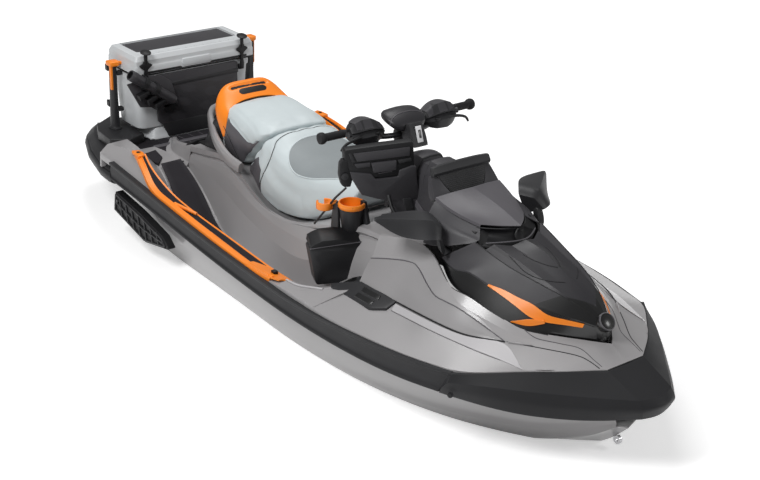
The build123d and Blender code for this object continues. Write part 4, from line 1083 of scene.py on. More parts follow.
SEAT_CREST = [(1.03, .152, .944), (1.1, .165, .946), (1.25, .17, .93), (1.4, .168, .909), (1.455, .166, .9),
              (1.5, .165, .876), (1.57, .165, .856), (1.71, .16, .843), (1.85, .145, .85), (2.04, .1, .862)]
SEAT_CROWN = [(1.03, 0, .956), (1.08, 0, .96), (1.25, 0, .943), (1.4, 0, .917), (1.45, 0, .907),
              (1.485, 0, .884), (1.53, 0, .857), (1.6, 0, .847), (1.75, 0, .842), (1.9, 0, .852),
              (2.04, 0, .868)]
SEAT_LINES = [SEAT_UNDER, SEAT_FOOT, SEAT_SIDE, SEAT_EDGE, SEAT_CREST, SEAT_CROWN]
SPLIT = ((1.41, .91), (1.22, .696))
SPLIT_GAP = .003
PAD_SHRINK = .004
PAD_VOXEL = PAD_SWELL = .007
PAD_HELD_BELOW = .63


def split_plane(forward):
    """A point and a normal of the slanted joint between the seats, set back on one side of the gap."""
    (top, high), (low, deep) = SPLIT
    normal = Vector((high - deep, 0, low - top)).normalized() * (1 if forward else -1)
    spot = at((top + low) / 2, 0, (high + deep) / 2) - normal * SPLIT_GAP
    return spot, normal


def build_seats():
    """Two swollen pads with their seams, the grippy saddle, and the dark panels below them."""
    shapes = []
    for name, forward, body in (("seat_rear_pad", True, "rear_seat"), ("seat_front_pad", False, "craft")):
        bm = form([offset(line, -PAD_SHRINK, 0) if line[0][1] else line for line in SEAT_LINES],
                  SEAT_STATIONS)
        spot, normal = split_plane(forward)
        trim(bm, spot, normal)
        pad = settle(name, bm, VINYL, body, level=1)
        swell(pad, PAD_VOXEL, PAD_SWELL, PAD_HELD_BELOW)
        shapes.append(pad)
    rear, front = shapes
    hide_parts("seat_rear")
    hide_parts("seat_front")
    groove(rear, [(1.1, .208, .9), (1.25, .212, .85), (1.36, .226, .8)], .003, .012)
    groove(rear, [(1.02, .155, .945), (1.16, .172, .935), (1.28, .19, .915), (1.36, .212, .87)], .0015,
           .016)
    groove(front, [(1.43, 0, .912), (1.432, .1, .91), (1.445, .165, .903), (1.462, .205, .88),
                   (1.462, .235, .82), (1.45, .24, .765), (1.415, .236, .7), (1.39, .226, .635)], .005,
           .011, .0016)
    build_saddle(front)
    rear_panel = blended([(1.085, .215, .905), (1.2, .215, .868), (1.365, .226, .805)],
                         [(1.075, .212, .73), (1.14, .212, .716), (1.232, .212, .708)], 12, 10)
    patch("seat_rear_panels", rear_panel, rear, SLATE, .003, body="rear_seat", mirror=True)
    for index, keys in enumerate(([(1.085, .216, .86), (1.15, .216, .8), (1.225, .216, .725)],
                                  [(1.08, .216, .8), (1.13, .216, .755), (1.175, .216, .722)])):
        tube("seat_panel_line%d" % index, offset(keys, .0035, 0), .0014, TRIM, "rear_seat", mirror=True)
    front_panel = blended([(1.372, .226, .8), (1.395, .232, .778), (1.42, .236, .752)],
                          [(1.242, .216, .706), (1.31, .22, .672), (1.392, .228, .63)], 10, 8)
    patch("seat_front_panels", front_panel, front, SLATE, .003, mirror=True)


SADDLE_HALF = [(1.487, 0), (1.49, .05), (1.503, .1), (1.53, .15), (1.58, .187), (1.64, .203), (1.7, .202),
               (1.77, .19), (1.84, .168), (1.9, .145), (1.96, .11), (2.0, .05), (2.008, 0)]
SADDLE_HEART = (1.72, 0)
ABOVE_SEAT = .9


def build_saddle(front):
    """The darker saddle let into the front pad, edged by a welt."""
    ring = whole(SADDLE_HALF)
    smooth = [(p.x, p.y) for p in drawn([(s, y, 0) for s, y in ring + ring[:1]], .012)[:-1]]
    heart = Vector(SADDLE_HEART)
    rows = [[(*heart.lerp(Vector(spot), share), ABOVE_SEAT) for spot in smooth]
            for share in (.02, .2, .4, .6, .75, .88, .95, .985, 1.0)]
    tree = tree_of(front)
    welt = [laid(tree, at(s, y, ABOVE_SEAT), .0005, (0, 0, -1)) for s, y in smooth[::2]]
    patch("seat_saddle", rows, front, SADDLE, .0015, (0, 0, -1), closed=True, sink=.004)
    tube("seat_welt", [place_of(p) for p in welt], .0034, VINYL, closed=True)


RIM = [(.94, 0, 1.006), (.94, .068, 1.007), (.943, .122, .998), (.951, .16, .966), (.962, .184, .925),
       (.984, .198, .884), (1.03, .212, .848), (1.072, .214, .802)]
BROW = [(1.026, 0, .95), (1.027, .06, .948), (1.034, .115, .938), (1.048, .155, .924), (1.066, .18, .915),
        (1.084, .198, .892), (1.088, .207, .856), (1.082, .211, .806)]


def build_handle():
    """The orange cowl of the grab handle, its finger slot and bare label strip, and the shell behind it."""
    loops = []
    for first, last in zip(RIM, BROW):
        rim, brow = Vector(first), Vector(last)
        lean = brow - rim
        swell_out = Vector((.3, first[1] / .21, .9 - first[1] * 3)).normalized()
        face = [rim.lerp(brow, share) + swell_out * lift
                for share, lift in ((.12, .004), (.5, .006), (.88, .002))]
        back = [end - swell_out * sink - lean * share
                for end, sink, share in ((brow, .012, .05), (rim, .022, .06), (rim, .006, .12))]
        loops.append([rim] + face + [brow] + back)
    far = [[(p.x, -p.y, p.z) for p in loop] for loop in reversed(loops)]
    cowl = rings("handle_cowl", far + loops[1:], ORANGE, [.4, .3, 0, .3, .7, .6, .4, .4], .8, level=3)
    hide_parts("grab_handle")
    slot = [(.962, side, .996 - abs(side) ** 2 * 1.2) for side in (-.095, -.05, 0, .05, .095)]
    groove(cowl, slot, .01, .017, drop=(-.5, 0, -1), sides=PORT)
    strip = [[(.966 + across * .8, run, 1.0) for run, across in row] for row in pill(.2, .019, 2)]
    patch("handle_slot", strip, cowl, TRIM, .0005, (-.3, 0, -1))
    label = [[(1.006 + across * .8, run + .005, 1.0) for run, across in row] for row in pill(.155, .046, 3)]
    patch("handle_label", label, cowl, GLOSS, .0012, (-.5, 0, -1))
    shell = []
    for height, aft, fore, half in ((.7, .82, 1.02, .215), (.78, .86, 1.022, .21), (.86, .9, 1.024, .19),
                                    (.92, .925, 1.018, .155), (.955, .935, 1.005, .1)):
        side = [(aft, 0), (aft + .01, half * .7), (aft + .05, half), (fore + half * .12, half),
                (fore, half * .7), (fore, 0)]
        shell.append([(s, y, height) for s, y in whole(side)])
    rings("handle_shell", shell, SATIN, .2, .5)


def build_rail():
    """The grey moulded bow that comes up from the pedestal and round behind the seat."""
    path = [(1.3, .262, .73), (1.22, .268, .744), (1.147, .262, .762), (1.06, .24, .782),
            (.976, .207, .797), (.86, .15, .803), (.77, .098, .802), (.71, .045, .8), (.695, 0, .8)]
    loops = []
    line = drawn(path, .02)
    for index, point in enumerate(line):
        ahead = line[min(index + 1, len(line) - 1)] - line[max(index - 1, 0)]
        ahead.normalize()
        outer = ahead.cross(Vector((0, 0, 1)))
        if outer.length < .2:
            outer = Vector((0, 1, 0))
        outer.normalize()
        if outer.y < 0:
            outer = -outer
        rise = outer.cross(ahead).normalized()
        if rise.z < 0:
            rise = -rise
        width, tall = .015, .024
        loops.append([tuple(point + outer * width * a + rise * tall * b)
                      for a, b in ((-1, -1), (-1, .6), (-.4, 1), (.5, 1), (1, .4), (1, -1))])
    far = [[(p[0], -p[1], p[2]) for p in loop] for loop in loops]
    tight = [.8, .8, .5, .5, .8, .8]
    port = rings("seat_bow_a", loops, DECKCOAT, tight, .5, level=1)
    rings("seat_bow_b", far, DECKCOAT, tight, .5, level=1)
    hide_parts("seat_rail")
    prism("seat_tray", [(.82, .2), (1.16, .205), (1.16, -.205), (.82, -.2)], .69, .7, TRIM, axis="height")


# ---------------------------------------------------------------- platform, cooler and rack

def stack(name, levels, surface, tight=0.0, ends=.9, level=2, body="craft", cross=None):
    """A closed body of outlines, each (station, side) pairs at its own height."""
    loops = [[(s, y, height) for s, y in outline] for outline, height in levels]
    return rings(name, loops, surface, tight, ends, level, body, cross=cross)


CORNER_STEPS = 3


def rounded(aft, fore, half, radius):
    """A rectangle with round corners in plan, as (station, side) pairs."""
    outline = []
    for s, y, start in ((fore - radius, half - radius, 0), (aft + radius, half - radius, 90),
                        (aft + radius, radius - half, 180), (fore - radius, radius - half, 270)):
        for step in range(CORNER_STEPS + 1):
            turn = math.radians(start + 90 * step / CORNER_STEPS)
            outline.append((s + radius * math.cos(turn), y + radius * math.sin(turn)))
    return outline


PLATFORM = [(.66, 0), (.66, .3), (.655, .597), (.54, .59), (.32, .534), (.14, .462), (.075, .422),
            (.02, .372), (.008, .26), (.003, 0)]
PLATFORM_FRONT, PLATFORM_HALF = .5, .58
SHOULDER = [(.11, .29), (.205, .432), (.29, .47), (.44, .482), (.5, .4), (.46, .3)]


def platform_outline(inset):
    """The platform's outline in plan, drawn in toward its middle."""
    return whole([(s + inset * .9 if s < PLATFORM_FRONT else s, y * (1 - inset / PLATFORM_HALF))
                  for s, y in PLATFORM])


def build_platform():
    """The swim platform with its chamfered edge, fender lip, mat and hinge bar."""
    insets = ((.035, .496), (.006, .503), (-.008, .52), (-.01, .545), (.003, .56), (.01, .5605),
              (.01, .564), (.004, .5645), (.03, .59), (.04, .598), (.075, .6))
    levels = [(platform_outline(inset), height) for inset, height in insets]
    base = stack("platform_body", levels, SATIN, .6, .3, cross={4: .6, 5: .9, 6: .9, 7: .7, 8: .6})
    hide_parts("swim_platform")
    prism("platform_shoulders", SHOULDER, .598, .65, SATIN, axis="height", mirror=True, bevel=.006)
    sheet = [(s + .02, y) for s, y in platform_outline(.085)]
    prism("platform_mat", sheet, .5995, .6045, MAT, axis="height", bevel=.002)
    bar = [(.545, .3), (.575, .3), (.575, -.3), (.545, -.3)]
    prism("platform_hinge", bar, .598, .611, SLATE, axis="height")
    for index in range(9):
        side = (index - 4) * .09
        tube("platform_line%d" % index, [(.06, side, .6049), (.185, side, .6049)], .0012, SLATE, order=2)
    prism("platform_step", [(0, .09), (.03, .1), (.03, -.1), (0, -.09)], .46, .5, SATIN, axis="height",
          bevel=.006)


def build_cooler():
    """The hard cooler: tapered body, chamfered lid with a sunk top, front panel, T latches and foot."""
    walls = ((.03, .66), (.018, .668), (.014, .72), (.006, .905), (.0055, .912), (-.001, .916),
             (-.001, .946), (.003, .9525))
    body = stack("cooler_shell", [(rounded(.2 + inset, .47 - inset, .335 - inset, .045), height)
                                  for inset, height in walls], COOLER, 0, .6, 1,
                 cross={1: .5, 3: .6, 4: .9, 5: .9, 6: .6})
    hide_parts("cooler_body")
    feet = ((.205, .475, .27, .6045), (.208, .47, .265, .616), (.215, .462, .257, .628),
            (.225, .452, .25, .6605))
    foot = stack("cooler_foot", [(rounded(aft, fore, half, .05), height)
                                 for aft, fore, half, height in feet], COOLER, 0, .6, 1,
                 cross={1: .6, 2: .6})
    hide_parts("cooler_base")
    tops = ((.006, .957), (0, .962), (0, 1.0), (.003, 1.006), (.003, 1.03), (.014, 1.0515), (.02, 1.0535))
    levels = [(rounded(.19 + inset, .48 - inset, .345 - inset, .014), height) for inset, height in tops]
    well = rounded(.212, .4, .29, .012)
    lid = stack("cooler_top", levels + [(well, 1.0535), (well, 1.042)], COOLER, .6, .9, 1, body="lid",
                cross={1: .9, 2: .9, 3: .9, 4: .95, 5: .95, 6: .9, 7: 1})
    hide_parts("cooler_lid")
    prism("lid_seam", rounded(.191, .479, .344, .014), .9526, .9566, TRIM, axis="height", bevel=.0005)
    prism("lid_panel", rounded(.214, .398, .288, .01), 1.041, 1.046, CHARCOAL, axis="height", bevel=.001,
          body="lid")
    lip = [(-.085, .985), (-.075, .972), (.075, .972), (.085, .985), (.078, 1.01), (-.078, 1.01)]
    prism("lid_grip", lip, .474, .484, COOLER, axis="station", body="lid")
    rails = [(-.3, .962), (.3, .962), (.3, .974), (.09, .974), (.08, .966), (-.08, .966), (-.09, .974),
             (-.3, .974)]
    prism("lid_gasket", rails, .4775, .4815, TRIM, axis="station", bevel=.001, body="lid")
    ticks = bmesh.new()
    for index in range(49):
        side = -.24 + index * .01
        deep = .013 if index % 10 == 0 else (.009 if index % 5 == 0 else .005)
        low, high = at(.456, side - .0008, 1.0537), at(.456 - deep, side + .0008, 1.0538)
        corners = ((low.x, low.y, low.z), (high.x, low.y, high.z), (high.x, high.y, high.z),
                   (low.x, high.y, low.z))
        ticks.faces.new([ticks.verts.new(corner) for corner in corners])
    settle("lid_ruler", ticks, SLATE, "lid", wall=.0004, welded=False)
    build_cooler_front()


STRAP = [(-.01, .905), (.01, .905), (.012, .93), (.009, .95), (.009, .985), (.02, .995), (.034, 1.004),
         (.034, 1.012), (.016, 1.02), (.011, 1.032), (-.011, 1.032), (-.016, 1.02), (-.034, 1.012),
         (-.034, 1.004), (-.02, .995), (-.009, .985), (-.009, .95), (-.012, .93)]
BARE_BELOW, DOTS_END = -.55, .225


def build_cooler_front():
    """The dark perforated front panel, its frame, and the rubber latches."""
    panel = [(-.238, .94), (-.225, .946), (.232, .946), (.247, .94), (.25, .7), (.235, .684), (-.205, .684),
             (-.222, .7)]
    face = prism("cooler_face", panel, .462, .4765, CHARCOAL, axis="station", bevel=.004)
    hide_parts("cooler_panel")
    prism("cooler_skirt", [(-.205, .69), (.252, .69), (.262, .612), (-.165, .612)], .466, .4775, SATIN,
          axis="station")
    prism("cooler_face_rim", [(-.24, .895), (.25, .905), (.25, .885), (-.238, .875)], .47, .48, SATIN,
          axis="station")
    dots = bmesh.new()
    for row in range(26):
        for column in range(44):
            side = -.165 + column * .0088 + (.0044 if row % 2 else 0)
            height = .866 - row * .007
            patchy = math.sin(column * .35 + row * .12) + math.sin(row * .55 - column * .21)
            if patchy < BARE_BELOW or side > DOTS_END:
                continue
            centre = at(.47685, side, height)
            bmesh.ops.create_circle(dots, cap_ends=True, radius=.0024, segments=6,
                                    matrix=Matrix.Translation(centre) @ Matrix.Rotation(math.pi / 2, 4, "Y"))
    settle("cooler_face_dots", dots, GLOSS, wall=.0003, welded=False)
    for index, side in enumerate((-.29, .268)):
        piece = prism("latch_strap%d" % index, [(side + y, h) for y, h in STRAP], .481, .491, TRIM,
                      axis="station")
        if index == 0:
            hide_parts("cooler_latches")
        prism("latch_web%d" % index, [(.483, 1.015), (.492, 1.015), (.494, 1.05), (.49, 1.075),
                                      (.482, 1.075), (.48, 1.05)], side - .008, side + .008, TRIM)
        lathe("latch_knob%d" % index, [(0, 0), (.022, .001), (.027, .004), (.027, .008), (.02, .012),
                                       (0, .013)], (.487, side, 1.07), TRIM, axis=(.25, 0, 1), steps=28)
        prism("latch_foot%d" % index, [(side - .014, .898), (side + .014, .898), (side + .016, .925),
                                       (side - .016, .925)], .466, .486, TRIM, axis="station", bevel=.004)


POST_STATION = .313


def upright(station, side, height, deep, wide):
    """A level rectangle about a place, reaching deep fore and aft and wide to the sides."""
    return [(station + deep * a, side + wide * b, height) for a, b in ((-1, -1), (1, -1), (1, 1), (-1, 1))]


def build_rack():
    """The two posts with their hooks and clips, the port brace, and the tool tube on its bracket."""
    for index, (side, top) in enumerate(((-.383, .985), (.425, .992))):
        flip = 1 if side > 0 else -1
        loops = []
        for height, wide, deep in ((.648, .032, .038), (.656, .032, .038), (.662, .024, .028),
                                   (.8, .021, .025), (top - .012, .019, .022), (top, .018, .02)):
            loops.append(upright(POST_STATION, side, height, deep, wide))
        post = rings("rack_post%d" % index, loops, SATIN, .15, .9, 2, cross={1: .8, 2: .8})
        crown = [(.288, side - .026), (.34, side - .026), (.346, side + .018), (.336, side + .03),
                 (.29, side + .026)]
        cap = prism("post_cap%d" % index, crown, top - .004, top + .02, ORANGE, axis="height", bevel=.005)
        if index == 0:
            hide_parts("rack_posts")
            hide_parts("post_hooks")
        tube("post_hook%d" % index, [(.325, side + flip * -.02, top + .01),
                                     (.335, side - flip * .05, top + .006),
                                     (.338, side - flip * .062, top + .018),
                                     (.338, side - flip * .058, top + .034)], .008, ORANGE,
             radii=[1.2, 1, 1, .7])
        strip_side = side + flip * .01
        prism("post_strip%d" % index, [(.318, strip_side), (.334, strip_side),
                                       (.334, strip_side + flip * .01), (.318, strip_side + flip * .012)],
              top - .125, top - .002, ORANGE, axis="height", bevel=.002)
        clip = [(.262, side - .016), (.294, side - .02), (.294, side + .02), (.262, side + .016),
                (.256, side + .01), (.266, side), (.256, side - .01)]
        near = side - flip * .018
        stay = [(.3, near), (.33, near), (.33, flip * .338), (.3, flip * .338)]
        for number, height in enumerate((.948, .76)):
            prism("post_clip%d%d" % (index, number), clip, height, height + .03, TRIM, axis="height")
            prism("post_stay%d%d" % (index, number), stay, height - .02, height, SATIN, axis="height")
    loops = []
    for height, s, y, wide in ((.64, .42, .345, .026), (.7, .41, .35, .022), (.9, .355, .405, .018),
                               (.985, .33, .423, .014)):
        loops.append(upright(s, y, height, wide, .012))
    rings("rack_brace", loops, SATIN, .8, .9, 1)
    start, end = Vector((.512, -.392, .985)), Vector((.508, -.15, .812))
    run = end - start
    pipe = lathe("tool_tube", [(.02, 0), (.0255, 0), (.027, .003), (.027, .04), (.0255, .044),
                               (.0255, run.length - .02), (.022, run.length), (0, run.length)], start,
                 CHARCOAL, axis=run, steps=36)
    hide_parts("tool_holder")
    # A dark disc just inside the tube's open mouth: painted shade for its hollow.
    lathe("tool_bore", [(0, .02), (.02, .02), (.02, 0)], start, TRIM, axis=run, steps=36)
    plate = [(-.4, .93), (-.33, .8), (-.27, .79), (-.235, .768), (-.115, .785), (-.15, .905), (-.205, .945),
             (-.285, .958), (-.34, .94)]
    prism("tool_plate", plate, .483, .489, CHARCOAL, axis="station", bevel=.002)
    for index, place in enumerate((.32, .56)):
        spot = start + run * place
        lathe("tool_band%d" % index, [(.026, -.014), (.0315, -.013), (.0325, 0), (.0315, .013),
                                      (.026, .014)], spot, TRIM, axis=run, steps=32)
        prism("tool_clamp%d" % index, [(spot.y - .04, spot.z + .004), (spot.y + .004, spot.z + .04),
                                       (spot.y + .04, spot.z + .012), (spot.y + .002, spot.z - .04)], .486,
              .5, TRIM, axis="station")
    for index in range(3):
        low = Vector((.516, -.355 + index * .045, .872 - index * .03))
        prism("tool_fin%d" % index, [(low.y, low.z), (low.y + .055, low.z + .02),
                                     (low.y + .06, low.z + .008), (low.y + .012, low.z - .03)], .489, .528,
              TRIM, axis="station")
    prism("tool_foot", [(-.2, .79), (-.12, .79), (-.14, .745), (-.19, .745)], .478, .489, TRIM,
          axis="station")


# ---------------------------------------------------------------- bars, column, display and side gear

def build_bars():
    """The handlebar with its pad, faceted switch housings, flared grips and levers."""
    bar = tube("bar_tube", [(2.15, -.292, 1.153), (2.125, -.22, 1.142), (2.14, -.16, 1.12),
                            (2.158, -.1, 1.112), (2.17, 0, 1.11), (2.158, .1, 1.112), (2.14, .16, 1.12),
                            (2.125, .22, 1.142), (2.15, .292, 1.153)], .012, STEEL, body="steering")
    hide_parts("handlebar")
    rings("bar_post", [[(2.165, -.038, 1.16), (2.222, -.034, 1.172), (2.222, .034, 1.172),
                        (2.165, .038, 1.16)],
                       [(2.19, -.044, 1.118), (2.25, -.038, 1.13), (2.25, .038, 1.13), (2.19, .044, 1.118)],
                       [(2.205, -.04, 1.07), (2.272, -.036, 1.082), (2.272, .036, 1.082),
                        (2.205, .04, 1.07)]], SATIN, .7, body="steering")

    def slope(across, up, out):
        """A place on the post's sloping face."""
        return 2.2405 + .4 * -up + out * .9, across, 1.126 + up * .92 + out * .4

    prism("post_plate", [(-.016, -.034), (.012, -.034), (.016, .034), (-.012, .034)], .008, .016, PALE,
          axis=slope, bevel=.002, body="steering")
    prism("post_mark", [(-.006, -.016), (.005, -.016), (.007, .018), (-.005, .018)], .015, .018, GLOSS,
          axis=slope, bevel=.001, body="steering")
    lathe("post_bulb", [(0, -.036), (.02, -.032), (.032, -.014), (.036, .01), (.032, .03), (0, .036)],
          (2.145, -.01, 1.098), SATIN, axis=(.3, .1, 1), body="steering")
    build_pad()
    build_housings()
    grip = [(0, 0), (.0165, 0)]
    for ring in range(11):
        grip += [(.0172, .012 + .007 * ring), (.016, .0155 + .007 * ring)]
    grip += [(.0178, .094), (.0235, .102), (.025, .113), (.0225, .122), (.012, .126), (0, .126)]
    grips = lathe("bar_grips", grip, (2.124, .284, 1.153), GRIP, axis=(-.11, 1, -.04), body="steering",
                  mirror=True, steps=28)
    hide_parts("grips")
    lever = tube("bar_levers", [(2.168, .222, 1.143), (2.176, .262, 1.141), (2.176, .305, 1.133),
                                (2.172, .33, 1.118), (2.17, .338, 1.1)], .0065, TRIM, body="steering",
                 mirror=True, radii=[1.3, 1.1, .9, .9, .7], order=4)
    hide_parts("levers")


def build_pad():
    """The rounded pad over the bar's middle, with a raised lighter line round its top as a painted highlight,
    and a small square plug.
    """
    rows = [(2.078, .06, 1.176, 1.198), (2.094, .09, 1.16, 1.21), (2.128, .102, 1.148, 1.213),
            (2.168, .1, 1.138, 1.2), (2.196, .084, 1.132, 1.182), (2.206, .05, 1.14, 1.168)]
    loops = []
    for station, half, low, top in rows:
        mid = low * .45 + top * .55
        shape = [(0, top), (.62 * half, top - .004), (half, mid + .01), (.92 * half, mid - .018),
                 (.55 * half, low), (0, low - .003)]
        loops.append([(station, y, h) for y, h in whole(shape, 0)])
    pad = rings("bar_pad", loops, INKY, 0, ends=.5, body="steering", level=3)
    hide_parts("handlebar_pad")
    # A lighter line along the crease round the pad's top: painted highlight.
    rim = [(2.172, -.094, 1.16), (2.168, -.08, 1.186), (2.16, -.045, 1.2), (2.158, 0, 1.2035),
           (2.16, .045, 1.2), (2.168, .08, 1.186), (2.172, .094, 1.16)]
    seam = drawn(placed(rim))
    tree = tree_of(pad)
    tube("pad_rim", [place_of(laid(tree, p, .0005)) for p in seam[::3]], .0022, SLATE, body="steering")
    prism("pad_plug", [(.02, 1.155), (.03, 1.155), (.032, 1.167), (.022, 1.167)], 2.19, 2.2105, TRIM,
          axis="station", bevel=.001, body="steering")


def build_housings():
    """The switch housings: a pale top facet over a dark recess, a ledge, and a rounded belly."""
    rows = [(.1, .3, 1.128, 1.15), (.118, .7, 1.11, 1.172), (.165, 1, 1.098, 1.2), (.222, 1, 1.094, 1.204),
            (.258, .85, 1.104, 1.192), (.276, .55, 1.122, 1.176)]
    loops = []
    for side, full, low, top in rows:
        tall = top - low
        shape = [(-.04, top - .006), (.012, top), (.04, top - .34 * tall), (.03, top - .42 * tall),
                 (.048, low + .4 * tall), (.036, low), (-.03, low + .004)]
        loops.append([(2.136 + run * full, side, h) for run, h in shape])
    housing = rings("bar_housings", loops, SATIN, [.8, .95, 1, 1, .95, .8, .7], ends=.9, mirror=True,
                    body="steering", cross={2: .8, 3: .8}, smooth=20)
    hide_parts("switch_housings")
    lid = [[(2.104, .122, 1.173), (2.146, .122, 1.174), (2.162, .126, 1.156)],
           [(2.096, .165, 1.199), (2.148, .165, 1.2025), (2.1745, .165, 1.17)],
           [(2.096, .222, 1.203), (2.148, .222, 1.2065), (2.1745, .222, 1.172)],
           [(2.104, .256, 1.19), (2.146, .256, 1.194), (2.166, .254, 1.166)]]
    skin_rows("housing_lids", lid, CHARCOAL, "steering", .5)
    for side in BOTH:
        prism("housing_switch_%s" % ("port" if side > 0 else "starboard"),
              [(side * .15, 1.135), (side * .172, 1.135), (side * .172, 1.15), (side * .15, 1.15)], 2.165,
              2.182, TRIM, axis="station", body="steering")
    tube("brake_hose", [(2.15, -.15, 1.105), (2.2, -.13, 1.075), (2.235, -.075, 1.06), (2.24, -.03, 1.045)],
         .004, TRIM, body="steering")


def build_column():
    """The stepped column cover between the post and the visor, and its dark core."""
    top = [(2.165, 0, 1.01), (2.215, 0, 1.046), (2.255, 0, 1.066), (2.3, 0, 1.074), (2.335, 0, 1.07),
           (2.341, 0, 1.052), (2.385, 0, 1.056), (2.391, 0, 1.074), (2.44, 0, 1.072), (2.447, 0, 1.056),
           (2.505, 0, 1.052)]
    edge = offset(top, .05, -.006)
    side = offset(top, .078, -.052)
    hem, low = ([(key[0], out, height) for key in top] for out, height in ((.1, .85), (.086, .93)))
    steps = {index: 1 for index in range(4, 10)}
    cover = skin("column_cover", [hem, low, side, edge, top], [p[0] for p in top], CHARCOAL,
                 [1, .8, .9, .9, 0], out=(0, 1, .5), cross=steps)
    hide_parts("console")
    for index, (s, h) in enumerate(((2.338, 1.06), (2.388, 1.063), (2.444, 1.063))):
        tube("column_step_%d" % index, [(s, -.079, h - .058), (s, -.051, h), (s, 0, h + .004), (s, .051, h),
                                        (s, .079, h - .058)], .0025, TRIM, order=2)
    prism("column_face", [(-.084, .85), (-.076, .99), (-.05, 1.035), (.05, 1.035), (.076, .99),
                          (.084, .85)], 2.49, 2.515, TRIM, axis="station")
    prism("column_back", [(-.095, .8), (-.07, .96), (-.04, 1.0), (.04, 1.0), (.07, .96), (.095, .8)], 2.15,
          2.18, SATIN, axis="station")
    skin("column_label_plate", [[(2.335, .095, .885), (2.42, .108, .845)],
                                [(2.345, .092, .905), (2.43, .105, .868)]], 2, SLATE, 1, sides=STARBOARD,
         out=(0, 1, .3))


FACE_SPOT = (2.3007, -.2337, 1.005)
FACE_ACROSS = (.3875, .9219)


def facing(spot):
    """Places (across, up, behind) on an upright face turned to the starboard bow."""
    ahead = (FACE_ACROSS[1], -FACE_ACROSS[0])

    def place(across, up, behind):
        return (spot[0] + FACE_ACROSS[0] * across - ahead[0] * behind, spot[1]
                + FACE_ACROSS[1] * across - ahead[1] * behind, spot[2] + up)
    return place


def build_display():
    """The fish-finder: a framed bezel over three tabs, a lower shell with a notch, a neck and a foot."""
    on_face = facing(FACE_SPOT)
    frame_line = [(-.154, .12), (-.148, .127), (-.017, .137), (.124, .146), (.132, .142), (.142, .04),
                  (.145, 0), (-.12, 0), (-.146, .04)]
    body = prism("display_frame", frame_line, .004, .05, TRIM, axis=on_face, bevel=.004)
    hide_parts("fish_finder")
    for name, outline, ahead, behind, surface, bevel in (("bezel",
                [(-.116, .112), (.117, .125), (.117, .088), (-.1, .077)], -.003, .008, CHARCOAL, .0025),
            ("edge", [(-.136, .113), (-.126, .114), (-.106, .076), (-.118, .07)], -.001, .008, SATIN, .002),
            ("tab_left", [(-.112, .068), (-.047, .07), (-.047, .053), (-.099, .05)], -.004, .01, CHARCOAL,
             .002),
            ("tab_middle", [(-.042, .068), (.062, .073), (.062, .034), (.048, .03), (-.031, .026)], -.007,
             .01, CHARCOAL, .003),
            ("tab_right", [(.068, .073), (.124, .079), (.126, .066), (.074, .058)], -.004, .01, SATIN,
             .002)):
        prism("display_" + name, outline, ahead, behind, surface, on_face, bevel)
    tube("display_slot", [on_face(-.009, .02, .001), on_face(.02, .024, .001), on_face(.046, .026, .001)],
         .0022, SLATE, order=2)
    shell_line = [(-.13, .036), (-.041, .021), (-.021, -.004), (.072, .001), (.076, .028), (.13, .045),
                  (.146, .042), (.158, -.045), (.165, -.1), (.045, -.107), (-.018, -.088), (-.078, -.068),
                  (-.12, .004)]
    prism("display_shell", shell_line, -.003, .046, CHARCOAL, axis=on_face, bevel=.005)
    prism("display_knob", [(-.16, .086), (-.17, .07), (-.172, .02), (-.162, -.02), (-.15, -.03),
                           (-.124, -.031), (-.116, 0), (-.132, .046), (-.14, .086)], .002, .034, TRIM,
          axis=on_face, bevel=.004)
    lathe("display_wheel", [(0, 0), (.012, 0), (.014, .002), (.014, .008), (.005, .01), (0, .01)],
          on_face(-.15, .018, .002), SATIN, axis=(.92, -.39, 0), steps=24)
    neck_rows = [(-.09, .01, .166, -.001, .046), (-.118, .046, .172, -.002, .048),
                 (-.14, .06, .182, -.004, .052), (-.165, .07, .2, -.012, .06),
                 (-.186, .06, .236, -.03, .066)]
    neck_rings = [[on_face(left, up, front), on_face(right, up, front), on_face(right, up, back),
                   on_face(left, up, back)] for up, left, right, front, back in neck_rows]
    rings("display_neck", neck_rings, CHARCOAL, .75)
    prism("display_ridge", [(.092, -.094), (.132, -.094), (.15, -.158), (.112, -.158)], -.008, .006, SATIN,
          axis=on_face, bevel=.004)
    prism("display_foot", [(.02, 0), (.235, -.03), (.245, .06), (.02, .06)], -.235, -.182, SATIN,
          axis=lambda across, behind, up: on_face(across, up, behind), bevel=.008)


